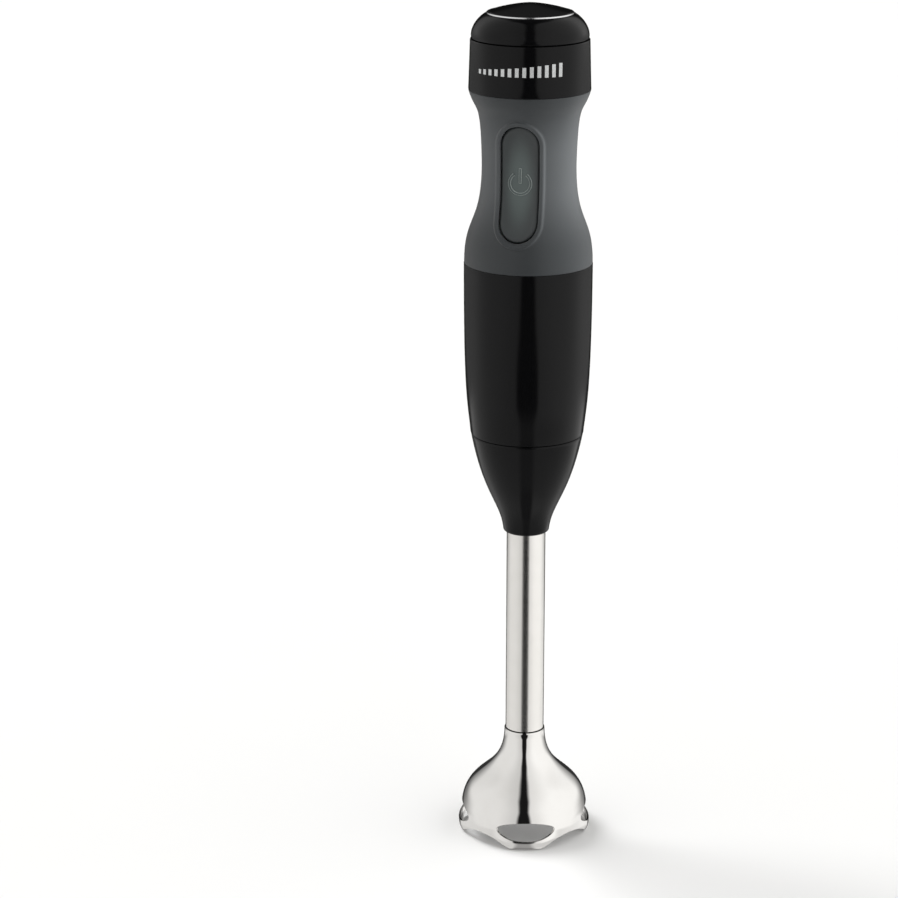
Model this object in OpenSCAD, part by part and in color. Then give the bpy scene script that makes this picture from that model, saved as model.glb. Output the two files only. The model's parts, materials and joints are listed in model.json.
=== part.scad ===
// Immersion blender with a detachable blending arm, a long power button and a speed dial.
// Millimetres. +Z is up, the origin is on the floor under the bell, and the button faces -Y.

/* [Heights] */
// Height of the blending arm, from the floor to its joint with the motor body
arm_h = 203.2; // [167:0.1:242]
// Height of the motor housing
housing_h = 82.4; // [76:0.1:102]
// Height of the grip sleeve
grip_h = 81; // [72:0.5:98]
// Height of the collar above the grip
collar_h = 23.4; // [22:0.1:28]
// Height of the speed dial above the collar
dial_h = 16.2; // [15:0.1:20]
// Height of the plastic adapter at the top of the arm
adapter_h = 49.5; // [45:0.5:58]
// Height of the bell, from the floor to its neck
bell_h = 52.8; // [49:0.1:64]

/* [Diameters] */
// Motor housing at its widest
body_d = 60.2; // [58:0.2:72.4]
// Grip at its waist
waist_d = 43.8; // [42:0.2:52.6]
// Collar where it meets the grip
collar_d = 56.4; // [54:0.2:60]
// Speed dial at its foot
dial_d = 54; // [52:0.2:54.6]
// Joint between arm and motor body
joint_d = 53.2; // [52:0.2:56]
// Arm tube, outside
tube_d = 18.6; // [15.4:0.1:22.4]
// Bell above its windows
bell_d = 61.6; // [58:0.2:74]
// Drive shaft in the arm
shaft_d = 6; // [5:0.1:7.2]
// Motor shaft
motor_shaft_d = 8; // [7:0.1:9.6]
// Circle that the blade tips sweep
blade_d = 42; // [35:0.5:50]
// Bore of the cord gland
cord_bore_d = 7; // [6:0.1:8.4]

/* [Walls] */
// Motor housing wall
housing_wall = 2.2; // [1.8:0.1:2.7]
// Grip wall
grip_wall = 2.8; // [2.3:0.1:3.4]
// Collar and dial wall
collar_wall = 2.5; // [2:0.1:3]
// Arm tube wall
tube_wall = 0.9; // [0.7:0.05:1.2]
// Bell wall
bell_wall = 1.1; // [0.9:0.05:1.4]

/* [Bell] */
// Turn of the bell about the arm, against the button
bell_turn = 14; // [0:1:45]
// Width of each bell window
window_w = 28.4; // [23:0.2:31]
// Height of each bell window in its middle
window_h = 9; // [7.5:0.1:10]
// Height of the lower edge of the windows
window_z = 4.7; // [4:0.1:6]
// Rise of the rim between two feet
rim_rise = 5.4; // [4:0.1:6.5]
// How far the feet stand out from the bell
foot_out = 1.9; // [1:0.1:3]

/* [Controls] */
// Width of the power button
button_w = 18; // [15:0.1:20]
// Gap round the button
button_gap = 0.4; // [0.3:0.05:0.6]
// Travel of the button
button_travel = 2.5; // [2:0.1:3]
// How far the button face lies under the grip surface
button_recess = 0.9; // [0.4:0.1:1.5]
// Height of the lip round the button
lip_h = 0.9; // [0.5:0.1:1.5]
// Width of the lip round the button
lip_w = 2.2; // [1.5:0.1:3]
// Diameter of the bright ring in the dial
trim_ring_d = 39.2; // [36:0.2:42]
// Width of the bright ring in the dial
trim_ring_w = 1.1; // [0.8:0.1:1.6]

/* [Hidden] */
$fn = 96;

// Clearances
running = 0.03;   // radial, shaft in bush or bearing
turning = 0.05;   // radial, spindle or seal that turns by hand or with a light touch
free = 0.4;       // between pieces that pass each other
seam = 0.3;       // visible gap between pieces that part or turn
eps = 0.01;
air = 50;         // length of a cutting tool that runs out into the open

// Main levels
z_joint = arm_h;
z_grip = z_joint + housing_h;
z_collar = z_grip + grip_h;
z_dial = z_collar + collar_h;
z_top = z_dial + dial_h;
z_adapter = z_joint - adapter_h;

// Main radii
body_r = body_d / 2;
waist_r = waist_d / 2;
collar_r = collar_d / 2;
collar_top_r = collar_r - 0.7;
dial_r = dial_d / 2;
joint_r = joint_d / 2;
tube_r = tube_d / 2;
bore_r = tube_r - tube_wall;
bell_r = bell_d / 2;
shaft_r = shaft_d / 2;
motor_shaft_r = motor_shaft_d / 2;

// ---- curves and shared shapes ----

// Cubic curve from a to b; ha and hb are the handles, as shares of the way from a to b.
function curve(a, b, ha, hb, n = 12) =
  let (p = [a.x + ha.x * (b.x - a.x), a.y + ha.y * (b.y - a.y)],
       q = [a.x + hb.x * (b.x - a.x), a.y + hb.y * (b.y - a.y)])
  [for (i = [0:n]) let (t = i / n, u = 1 - t) u^3 * a + 3 * u * u * t * p + 3 * u * t * t * q + t^3 * b];

function arc(c, r, a0, a1, n = 5) = [for (i = [0:n]) let (w = a0 + (a1 - a0) * i / n) c + r * [cos(w), sin(w)]];
function inset(c, t) = [for (p = c) [p.x - t, p.y]];
function flip(c) = [for (i = [len(c) - 1:-1:0]) c[i]];
function radius_at(c, z) = lookup(z, [for (p = c) [p.y, p.x]]);
function above(c, z) = [for (p = c) if (p.y > z + eps) p];

// Rectangle with round corners; with r = w / 2 it is a stadium.
function rounded(w, h, r, n = 8) =
  [for (k = [0:3], i = [0:n])
    let (sx = k == 0 || k == 3 ? 1 : -1, sy = k < 2 ? 1 : -1, a = 90 * k + 90 * i / n)
    [sx * (w / 2 - r) + r * cos(a), sy * (h / 2 - r) + r * sin(a)]];

module turned(c) rotate_extrude() polygon(c);
module solid_under(c) turned(concat([[0, c[0].y]], c, [[0, c[len(c) - 1].y]]));
module shell_under(c, wall) turned(concat(c, flip(inset(c, wall))));

module ring(ro, ri, z0, z1)
  translate([0, 0, z0]) difference() {
    cylinder(r = ro, h = z1 - z0);
    translate([0, 0, -1]) cylinder(r = ri, h = z1 - z0 + 2);
  }

module disc(r, z0, z1) translate([0, 0, z0]) cylinder(r = r, h = z1 - z0);
module block(x0, x1, y0, y1, z0, z1) translate([x0, y0, z0]) cube([x1 - x0, y1 - y0, z1 - z0]);
module along_y(r, y0, y1) translate([0, y1, 0]) rotate([90, 0, 0]) cylinder(r = r, h = y1 - y0);

// Wedge of the given angle, centred on +X, used to cut sectors out of rings.
module wedge(angle, r, z0, z1)
  translate([0, 0, z0]) linear_extrude(z1 - z0)
    polygon([[0, 0], r * [cos(angle / 2), -sin(angle / 2)], r * [1.2, 0], r * [cos(angle / 2), sin(angle / 2)]]);

// Round wire or tube of radius r along points; up is a direction that no stretch runs along.
module swept(points, r, up = [0, 0, 1], sides = 6) {
  n = len(points);
  rings = [for (i = [0:n - 1])
    let (a = points[max(i - 1, 0)], b = points[min(i + 1, n - 1)],
         t = (b - a) / norm(b - a), s0 = cross(t, up), s = s0 / norm(s0), v = cross(t, s))
    [for (k = [0:sides - 1]) points[i] + r * (cos(360 * k / sides) * s + sin(360 * k / sides) * v)]];
  pts = [for (q = rings) each q];
  walls = [for (i = [0:n - 2], k = [0:sides - 1])
    let (a = i * sides + k, b = i * sides + (k + 1) % sides) [a, b, b + sides, a + sides]];
  ends = [[for (k = [sides - 1:-1:0]) k], [for (k = [0:sides - 1]) (n - 1) * sides + k]];
  polyhedron(pts, concat([for (w = walls) [w[0], w[1], w[2]]], [for (w = walls) [w[0], w[2], w[3]]], ends));
}

function helix(r, length, turns, per_turn = 12) =
  [for (i = [0:turns * per_turn]) let (a = 360 * i / per_turn) [r * cos(a), length * i / (turns * per_turn), r * sin(a)]];

function route(a, p, q, b, n = 12) =
  [for (i = [0:n]) let (t = i / n, u = 1 - t) u^3 * a + 3 * u * u * t * p + 3 * u * t * t * q + t^3 * b];

// ---- outside curves, each from its lower end to its upper end ----

adapter_foot_r = tube_r + 1.7;
foot_round = 1.4;
adapter_curve = concat(
  [[tube_r, z_adapter]],
  arc([adapter_foot_r - foot_round, z_adapter + foot_round], foot_round, -90, -6),
  curve([adapter_foot_r, z_adapter + foot_round + 0.1], [joint_r - 0.1, z_joint - seam - 0.4],
        [0.118, 0.279], [0.635, 0.37], 16),
  [[joint_r - 0.5, z_joint - seam]]);

housing_curve = concat(
  [[joint_r - 0.2, z_joint]],
  curve([joint_r + 0.2, z_joint + 0.4], [body_r, z_grip], [0.482, 0.189], [1, 0.231], 14));

waist_drop = 34.4;    // waist below the collar seam
z_waist = z_collar - waist_drop;
grip_curve = concat(
  curve([body_r - 0.1, z_grip], [waist_r, z_waist], [0, 0.475], [1, 0.376], 16),
  curve([waist_r, z_waist], [collar_r, z_collar], [0.108, 0.917], [0.428, 0.655], 14));

collar_curve = [[collar_r - 0.1, z_collar], [collar_r, z_collar + 0.4], [collar_top_r, z_dial - 0.5],
                [collar_top_r - 0.4, z_dial]];

ring_r = trim_ring_d / 2 + trim_ring_w / 2;
crown_h = 4.6;        // rise of the crown above the bright ring
dial_curve = concat([[dial_r - 0.3, z_dial + seam]],
  curve([dial_r, z_dial + seam + 0.3], [ring_r, z_top - crown_h], [-0.063, 0.323], [0.324, 0.765], 12));
crown_curve = curve([ring_r, z_top - crown_h], [0, z_top], [0.121, 0.41], [0.8, 1], 12);

// ---- joint between arm and motor body ----

socket_depth = 17;          // from the joint up to the bulkhead
spigot_h = 13;              // arm socket above the joint
spigot_r = 20.4;
spigot_wall = 3;
lug_r = 22.5;
lug_angle = 24;
lug_z = 4;                  // lug above the joint
lug_h = 4.5;
ring_out_r = joint_r - 2.4; // lock ring
housing_mouth_r = lug_r + 0.5;
mouth_lip = 1.2;
shelf_z = z_joint - 13;     // shelf that the arm socket sits on
socket_floor = 2.5;

dog_r = 9.9;                // drive dog wings
dog_hub_r = 5;
dog_angle = 24;
dog_h = 8;
dog_z = z_joint - 1.5;
cup_r = 13;
cup_wall = 2.5;
cup_floor = 2.8;
cup_z = z_joint - 5.5;
dogs = 3;
lugs = 3;

// ---- motor ----

bulkhead_z = z_joint + socket_depth;
bulkhead_t = 2.5;
seal_r = motor_shaft_r + 4;
mount_t = 3.8;                                    // rubber between motor and housing
motor_r = body_r - housing_wall - mount_t - 0.1;
bracket_wall = 2.2;
yoke_t = 4.5;
coil_t = 2.5;
shoe_t = 2.2;
armature_r = motor_r - yoke_t - coil_t - shoe_t - 0.5 - 0.5;
shoe_r = armature_r + 0.5 + shoe_t;
coil_ri = shoe_r + 0.3;
coil_ro = coil_ri + coil_t;
pole_w = 14;
pole_span = 110;
coil_span = 96;
coil_over = 4.5;                                  // coil past each end of the core
lower_z = bulkhead_z + bulkhead_t + 1;            // foot of the lower bracket
core_z = lower_z + 21.5;
core_top = z_grip - 17.4;
bearing_h = 7;
lower_bearing_r = motor_shaft_r + 5.5;
upper_bearing_r = motor_shaft_r + 3.5;
bolt_at = motor_r - 2.3;
bolt_r = 1.5;
bolt_boss_r = 3.2;
fan_r = bolt_at - bolt_boss_r - 0.6;
plate_z = lower_z + 6.5;                          // lower bracket plate
cap_z = core_top + 16;                            // upper bracket plate
plate_t = 2.5;
commutator_r = armature_r - 4.8;
brush_z = core_top + 10;
brush_w = 5;
brush_h = 7;
brush_gap = 0.3;
holder_wall = 0.8;
brush_len = 9;

// ---- grip and its insides ----

margin_top = 13.7;          // button below the collar seam
margin_bottom = 14.3;       // button above the housing seam
button_len = grip_h - margin_top - margin_bottom;
button_z = z_collar - margin_top - button_len / 2;
opening_w = button_w + 2 * button_gap;
opening_len = button_len + 2 * button_gap;
post_y = -4;
post_r = 3;
spring_y = -12.5;
spring_at = button_len / 2 - 9.5;
board_y = 1.4;
switch_face_y = board_y - 6;
stem_y = switch_face_y - button_travel - 1.9;   // the pressed stem stays clear of the switch
board_t = 1.6;
carrier_y = board_y + board_t;
carrier_t = 2;
carrier_w = 31;
carrier_z = z_grip + 11;
board_w = 27;
board_z0 = z_grip + 13.6;
board_z1 = z_collar - 8.4;
flange_z = z_collar + 1.6;
flange_t = 2;
screw_x = 15;
screw_y = 8;
screw_boss_r = 3.2;
screw_r = 1.3;
deck_z = z_dial - 5.3;
deck_t = 2.5;
spigot2_h = 5.4;            // spigot of the collar inside the grip

gland_z = z_collar + 11.6;
gland_r = cord_bore_d / 2 + 1.9;
gland_flange_r = gland_r + 2.2;
gland_seat_y = collar_r - 1.8;
gland_t = 3.4;
clamp_y = gland_seat_y - 9.4;
clamp_x = 7;

spindle_r = 3;
cam_r = 18;
cam_z = z_dial - 0.4;
cam_t = 2.5;
skirt_r = collar_top_r - collar_wall - 0.4;

// ================= motor body =================

module motor_housing() color([0.05, 0.05, 0.055]) difference() {
  solid_under(housing_curve);
  // hollow above the bulkhead ledge
  solid_under(concat([[radius_at(housing_curve, bulkhead_z) - housing_wall, bulkhead_z]],
    inset(above(housing_curve, bulkhead_z), housing_wall), [[body_r - housing_wall, z_grip + 1]]));
  disc(ring_out_r + free, z_joint + mouth_lip, bulkhead_z + 1);
  disc(housing_mouth_r, z_joint - 1, bulkhead_z);
}

module lip_prism(w, len, y0, y1)
  translate([0, y1, button_z]) rotate([90, 0, 0]) linear_extrude(y1 - y0) polygon(rounded(w, len, w / 2));

module grip_sleeve() color([0.27, 0.28, 0.29]) difference() {
  spigot_ro = body_r - housing_wall - 0.05;
  union() {
    solid_under(grip_curve);
    disc(spigot_ro, z_grip - 5.9, z_grip + 1);
    intersection() {
      solid_under(inset(grip_curve, -lip_h));
      lip_prism(opening_w + 2 * lip_w, opening_len + 2 * lip_w, -air, 0);
    }
  }
  difference() {
    solid_under(concat([[body_r - 0.1 - grip_wall, z_grip - 10]], inset(grip_curve, grip_wall),
                       [[collar_r - grip_wall, z_collar + 1]]));
    ring(body_r, spigot_ro - 2.5, z_grip - 11, z_grip + 2.5);
  }
  lip_prism(opening_w, opening_len, -air, -5);
}

module top_collar() color([0.05, 0.05, 0.055]) difference() {
  spigot_ro = radius_at(grip_curve, z_collar - spigot2_h) - grip_wall - 0.1;
  inner_r = collar_top_r - collar_wall;
  union() {
    shell_under(collar_curve, collar_wall);
    ring(collar_r - 1.5, spigot_ro - 2.5, z_collar, flange_z);
    ring(spigot_ro, spigot_ro - 2.5, z_collar - spigot2_h, z_collar + 1);
    disc(inner_r + 1, deck_z, deck_z + deck_t);
    for (s = [-1, 1]) {
      translate([s * screw_x, screw_y, 0]) disc(screw_boss_r, flange_z + flange_t, deck_z + 1);
      translate([s * clamp_x, clamp_y, 0]) disc(2.4, gland_z - 3.6, deck_z + 1);
    }
    // flat pad round the gland
    intersection() {
      translate([0, 0, gland_z]) along_y(gland_flange_r + 1.2, gland_seat_y - 4, air);
      shell_under(collar_curve, collar_wall + 2.2);
    }
  }
  disc(spindle_r + turning, deck_z - 1, deck_z + deck_t + 1);
  translate([0, 0, gland_z]) along_y(gland_r, 15, air);
  translate([0, 0, gland_z]) along_y(gland_flange_r + 0.1, gland_seat_y, air);
  for (s = [-1, 1]) {
    translate([s * screw_x, screw_y, 0]) disc(screw_r, flange_z, flange_z + 13.5);
    translate([s * clamp_x, clamp_y, 0]) disc(1, gland_z - 5, gland_z + 4);
  }
}

module cord_gland() color([0.06, 0.06, 0.06]) translate([0, 0, gland_z]) difference() {
  wall_in = gland_seat_y - 4;
  union() {
    along_y(gland_flange_r, gland_seat_y, gland_seat_y + 1.6);
    along_y(gland_r, wall_in - 2, gland_seat_y + gland_t);
    along_y(gland_r + 1.2, wall_in - 2.4, wall_in - 0.6);
  }
  along_y(cord_bore_d / 2, wall_in - 5, air);
}

module cord_clamp() color([0.75, 0.72, 0.62]) difference() {
  translate([0, clamp_y, gland_z - 6]) linear_extrude(2.4) polygon(rounded(2 * clamp_x + 6, 5, 2.4));
  for (s = [-1, 1]) translate([s * clamp_x, clamp_y, 0]) disc(1.2, gland_z - 8, gland_z);
}

module clamp_screws() color([0.7, 0.7, 0.72]) for (s = [-1, 1]) translate([s * clamp_x, clamp_y, 0]) {
  disc(2, gland_z - 7.4, gland_z - 6);
  disc(1, gland_z - 6.5, gland_z + 3);
}

module carrier_frame() color([0.82, 0.82, 0.78]) difference() {
  union() {
    block(-carrier_w / 2, carrier_w / 2, carrier_y, carrier_y + carrier_t, carrier_z, flange_z + 1);
    for (s = [-1, 1]) block(s * 10 - 0.8, s * 10 + 0.8, carrier_y + 1, carrier_y + 5, carrier_z, flange_z + 1);
    intersection() {
      disc(collar_r - collar_wall - 1.5, flange_z, flange_z + flange_t);
      block(-air, air, -3, 13, flange_z - 1, flange_z + 5);
    }
    for (s = [-1, 1]) translate([0, 0, button_z + s * spring_at]) along_y(post_r, post_y, carrier_y + 1);
  }
  for (s = [-1, 1]) translate([s * screw_x, screw_y, 0]) disc(screw_r + 0.2, flange_z - 2, flange_z + 4);
}

module carrier_screws() color([0.7, 0.7, 0.72]) for (s = [-1, 1]) translate([s * screw_x, screw_y, 0]) {
  disc(2.7, flange_z - 2.2, flange_z);
  disc(screw_r, flange_z - 1, flange_z + 12.5);
}

module control_board() color([0.1, 0.35, 0.2]) difference() {
  block(-board_w / 2, board_w / 2, board_y, carrier_y, board_z0, board_z1);
  for (s = [-1, 1]) translate([0, 0, button_z + s * spring_at]) along_y(post_r + 0.3, board_y - 1, carrier_y + 1);
}

module capacitor() color([0.85, 0.65, 0.1]) translate([8.7, board_y, button_z - 5]) rotate([90, 0, 0])
  linear_extrude(8.4) polygon(rounded(7.8, 18, 1));

module heat_sink() color([0.75, 0.76, 0.78]) {
  block(-13, -5, board_y - 2, board_y, button_z - 12, button_z + 8);
  for (k = [0:3]) block(-13 + 2.2 * k, -11.8 + 2.2 * k, board_y - 7, board_y - 1, button_z - 12, button_z + 8);
}

module choke() color([0.6, 0.32, 0.15]) translate([8.6, board_y - 4.2, 0]) {
  disc(4.2, button_z + 12, button_z + 13.5);
  disc(3.4, button_z + 13, button_z + 22);
  disc(4.2, button_z + 21.5, button_z + 23);
}

module terminal_block() color([0.15, 0.3, 0.55]) difference() {
  block(-12.5, -4.6, board_y - 7, board_y, button_z + 14, button_z + 23);
  for (k = [0:1]) translate([-10.6 + 4 * k, 0, button_z + 18.5]) along_y(1.2, board_y - 10, board_y - 4);
}

module power_switch() color([0.12, 0.12, 0.13]) difference() {
  block(-3.2, 3.2, switch_face_y, board_y, button_z - 10, button_z + 10);
  translate([0, 0, button_z]) along_y(1.5, switch_face_y - 1, board_y - 0.8);
}

module speed_switch() color([0.25, 0.25, 0.27]) difference() {
  union() {
    disc(9.5, flange_z + flange_t, deck_z - 2.5);
    disc(5, deck_z - 3, deck_z - 2);
  }
  disc(spindle_r + turning, flange_z + flange_t + 4, deck_z);
}

module detent_spring() color([0.8, 0.8, 0.82]) {
  intersection() {
    ring(16.5, 13.5, deck_z + deck_t, deck_z + deck_t + 0.6);
    rotate(90) wedge(70, 25, deck_z + deck_t - 1, deck_z + deck_t + 2);
  }
  translate([0, 15, 0]) disc(1.2, deck_z + deck_t + 0.5, cam_z - 0.3);
}

module button_springs() color([0.78, 0.78, 0.8]) for (s = [-1, 1])
  translate([0, spring_y + 0.5, button_z + s * spring_at])
    swept(helix(2.4, post_y - spring_y - 1, 5), 0.35, [0, 1, 0]);

module lead_wires() {
  // mains leads from the board up to the clamp
  for (s = [-1, 1]) color(s < 0 ? [0.15, 0.25, 0.6] : [0.45, 0.25, 0.12])
    swept(route([s * 8, board_y - 0.8, board_z1 - 2], [s * 14, -16, board_z1 + 12],
                [s * 12, 8, gland_z + 4], [s * 2.5, clamp_y - 3, gland_z]), 0.8, [1, 0, 0]);
  // motor leads from the board down to the upper bracket
  for (s = [-1, 1]) color([0.7, 0.12, 0.1])
    swept(route([s * 8, board_y - 0.8, board_z0 + 2], [s * 8, -4, board_z0 - 5],
                [s * 17, -4, board_z0 - 4], [s * 17, -4, cap_z + plate_t]), 0.8, [0, 1, 0]);
}

// ---- motor, fixed pieces ----

module pole_body(z0, z1) translate([0, 0, z0]) linear_extrude(z1 - z0) difference() {
  union() {
    difference() { circle(motor_r - 0.1); circle(motor_r - yoke_t); }
    square([pole_w, 2 * (motor_r - 1)], center = true);
    intersection() {
      circle(shoe_r);
      for (s = [0, 1]) rotate(90 + 180 * s)
        polygon([[0, 0], 40 * [cos(pole_span / 2), -sin(pole_span / 2)], [60, 0],
                 40 * [cos(pole_span / 2), sin(pole_span / 2)]]);
    }
  }
  circle(shoe_r - shoe_t);
  for (s = [-1, 1]) translate([s * bolt_at, 0]) circle(bolt_r + 0.1);
}

module stator_core() color([0.45, 0.46, 0.48]) pole_body(core_z, core_top);

module field_coils() color([0.72, 0.38, 0.16]) for (s = [0, 1]) rotate(90 + 180 * s) difference() {
  intersection() {
    ring(coil_ro, coil_ri, core_z - coil_over, core_top + coil_over - 0.5);
    wedge(coil_span, 40, core_z - 10, core_top + 10);
  }
  block(0, 40, -pole_w / 2 - 0.2, pole_w / 2 + 0.2, core_z - 0.2, core_top + 0.2);
}

module bolt_bosses(z0, z1) for (s = [-1, 1]) translate([s * bolt_at, 0, 0]) intersection() {
  disc(bolt_boss_r, z0, z1);
  translate([-s * bolt_at, 0, 0]) disc(motor_r, z0, z1);
}

module bolt_holes(z0, z1) for (s = [-1, 1]) translate([s * bolt_at, 0, 0]) disc(bolt_r + 0.1, z0, z1);

module lower_bracket() color([0.7, 0.71, 0.72]) difference() {
  union() {
    ring(motor_r, motor_r - bracket_wall, plate_z, core_z);
    disc(motor_r, plate_z, plate_z + plate_t);
    disc(lower_bearing_r + 2.5, lower_z, plate_z + 1);
    bolt_bosses(plate_z, core_z);
  }
  disc(lower_bearing_r, lower_z - 1, lower_z + bearing_h + 0.5);
  disc(motor_shaft_r + 1, lower_z, core_z);
  for (k = [0:5]) rotate(30 + 60 * k) translate([(lower_bearing_r + 2.5 + motor_r) / 2, 0, 0])
    disc(2.6, plate_z - 1, plate_z + plate_t + 1);
  for (k = [0:5]) rotate(30 + 60 * k) block(motor_r - 4, motor_r + 2, -4, 4, plate_z + 4, plate_z + 9);
  bolt_holes(plate_z - 1, core_z + 1);
}

module upper_bracket() color([0.12, 0.12, 0.13]) difference() {
  union() {
    ring(motor_r, motor_r - bracket_wall, core_top, cap_z);
    disc(motor_r, cap_z, cap_z + plate_t);
    disc(upper_bearing_r + 2.5, cap_z, cap_z + plate_t + bearing_h);
    bolt_bosses(core_top, cap_z + 1);
  }
  disc(upper_bearing_r, cap_z + plate_t, cap_z + 20);
  disc(motor_shaft_r + 1, cap_z - 1, cap_z + 5);
  for (k = [0:5]) rotate(30 + 60 * k) translate([(upper_bearing_r + 2.5 + motor_r) / 2, 0, 0])
    disc(3, cap_z - 1, cap_z + plate_t + 1);
  holder_slots(0.1);
  bolt_holes(core_top - 1, cap_z + plate_t + 1);
}

module holder_slots(gap) {
  w = brush_w / 2 + holder_wall + gap;
  h = brush_h / 2 + holder_wall + gap;
  block(-w, w, -motor_r - 1, motor_r + 1, brush_z - h, brush_z + h);
}

module upper_bearing() color([0.75, 0.6, 0.35])
  ring(upper_bearing_r, motor_shaft_r + running, cap_z + plate_t, cap_z + plate_t + bearing_h - 0.5);

module lower_bearing() color([0.8, 0.8, 0.82])
  ring(lower_bearing_r, motor_shaft_r + running, lower_z + 0.5, lower_z + 0.5 + bearing_h);

module brush_pair(y0, y1, w, h) for (s = [0, 1]) rotate(180 * s)
  block(-w / 2, w / 2, y0, y1, brush_z - h / 2, brush_z + h / 2);

module brush_holders() color([0.82, 0.68, 0.3]) difference() {
  brush_pair(commutator_r + 2, motor_r - 0.6, brush_w + 2 * holder_wall, brush_h + 2 * holder_wall);
  brush_pair(commutator_r, motor_r - 1.6, brush_w + 0.1, brush_h + 0.1);
}

module carbon_brushes() color([0.15, 0.15, 0.16]) difference() {
  brush_pair(commutator_r - 2, commutator_r + brush_gap + brush_len, brush_w, brush_h);
  disc(commutator_r + brush_gap, brush_z - 9, brush_z + 9);
}

module brush_springs() color([0.8, 0.8, 0.82]) for (s = [0, 1]) rotate(180 * s)
  translate([0, commutator_r + brush_gap + brush_len + 0.35, brush_z])
    swept(helix(1.9, motor_r - 2 - commutator_r - brush_gap - brush_len - 0.7, 4), 0.3, [0, 1, 0]);

module motor_bolts() color([0.7, 0.7, 0.72]) for (s = [-1, 1]) translate([s * bolt_at, 0, 0]) {
  disc(bolt_r, plate_z - 1, cap_z + plate_t + 1);
  disc(2.6, cap_z + plate_t, cap_z + plate_t + 2);
  translate([0, 0, plate_z - 2]) cylinder(r = 2.7, h = 2, $fn = 6);
}

module upper_mount() color([0.1, 0.1, 0.1])
  ring(radius_at(housing_curve, core_top + 2) - housing_wall - 0.05, motor_r, core_top + 2, core_top + 8);

module lower_mount() color([0.1, 0.1, 0.1])
  ring(radius_at(housing_curve, plate_z) - housing_wall - 0.05, motor_r, plate_z, plate_z + 3.5);

module bulkhead() color([0.14, 0.14, 0.15]) difference() {
  union() {
    disc(radius_at(housing_curve, bulkhead_z) - housing_wall - 0.05, bulkhead_z, bulkhead_z + bulkhead_t);
    disc(seal_r + 2, bulkhead_z - 2.5, bulkhead_z + 1);
  }
  disc(seal_r, bulkhead_z - 4, bulkhead_z + 1.2);
  disc(motor_shaft_r + 1, bulkhead_z, bulkhead_z + 5);
}

module bulkhead_seal() color([0.08, 0.08, 0.08])
  ring(seal_r, motor_shaft_r + turning, bulkhead_z - 2.3, bulkhead_z + 1.2);

// ================= rotor =================

module motor_shaft() color([0.8, 0.8, 0.82]) {
  disc(motor_shaft_r - 1, dog_z + 0.5, bulkhead_z - 3);
  disc(motor_shaft_r, bulkhead_z - 3.5, cap_z + plate_t + bearing_h - 0.8);
}

slots = 12;
slot_r = 1.3;
slot_at = armature_r - slot_r - 0.9;
slot_mouth = 1;     // opening of an armature slot

module armature_core() color([0.5, 0.5, 0.52]) translate([0, 0, core_z]) linear_extrude(core_top - core_z)
  difference() {
    circle(armature_r);
    circle(motor_shaft_r);
    for (k = [0:slots - 1]) rotate(360 / slots * k) translate([slot_at, 0]) {
      circle(slot_r, $fn = 24);
      translate([0, -slot_mouth / 2]) square([3, slot_mouth]);
    }
  }

module armature_windings() color([0.75, 0.4, 0.18]) {
  ring(slot_at + 0.6, motor_shaft_r + 1, core_z - 3.6, core_z);
  ring(slot_at + 0.6, motor_shaft_r + 1, core_top, core_top + 3.6);
  for (k = [0:slots - 1]) rotate(360 / slots * k) translate([slot_at, 0, 0])
    disc(slot_r - 0.15, core_z - 1, core_top + 1, $fn = 24);
}

module commutator() color([0.72, 0.42, 0.22]) difference() {
  disc(commutator_r, brush_z - 5, brush_z + 5);
  disc(motor_shaft_r, brush_z - 6, brush_z + 6);
  for (k = [0:slots - 1]) rotate(360 / slots * (k + 0.5))
    block(commutator_r - 0.8, commutator_r + 2, -0.25, 0.25, brush_z - 6, brush_z + 6);
}

module cooling_fan() color([0.85, 0.85, 0.82]) difference() {
  union() {
    disc(motor_shaft_r + 3, plate_z + 3.7, plate_z + 8.5);
    disc(fan_r, plate_z + 3.7, plate_z + 4.7);
    for (k = [0:10]) rotate(360 / 11 * k) block(motor_shaft_r + 2, fan_r - 0.5, -0.5, 0.5, plate_z + 4.2, plate_z + 8.5);
  }
  disc(motor_shaft_r, plate_z, plate_z + 10);
}

module dog_wings(angle, ro, ri, z0, z1, turn) for (k = [0:dogs - 1]) rotate(360 / dogs * k + turn) intersection() {
  ring(ro, ri, z0, z1);
  wedge(angle, 30, z0 - 1, z1 + 1);
}

module drive_dog() color([0.75, 0.75, 0.77]) difference() {
  union() {
    disc(dog_hub_r, dog_z, bulkhead_z - 4);
    dog_wings(dog_angle, dog_r, dog_hub_r - 0.5, dog_z, dog_z + dog_h, 60);
  }
  disc(motor_shaft_r - 1, dog_z + 0.5, bulkhead_z);
}

// ================= power button =================

module button_solid(w, len, under)
  intersection() {
    lip_prism(w, len, -air, -5);
    solid_under(inset(grip_curve, under));
  }

module power_button() color([0.3, 0.33, 0.33]) {
  face = button_recess;
  flange_under = grip_wall + free;
  inside = flange_under + 1.4;
  difference() {
    union() {
      button_solid(button_w, button_len, face);
      button_solid(button_w + 3.4, button_len + 3.4, flange_under);
    }
    difference() {
      solid_under(inset(grip_curve, inside));
      // stem and spring seats stay
      translate([0, 0, button_z]) along_y(2.5, -air, stem_y);
      for (s = [-1, 1]) translate([0, 0, button_z + s * spring_at]) along_y(3.4, -air, spring_y);
    }
  }
}

module switch_plunger() color([0.85, 0.3, 0.2]) translate([0, 0, button_z])
  along_y(1.2, stem_y, switch_face_y + 2);

// ================= speed dial =================

disc_gap = 0.1;     // between the bright ring and its neighbours

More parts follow.
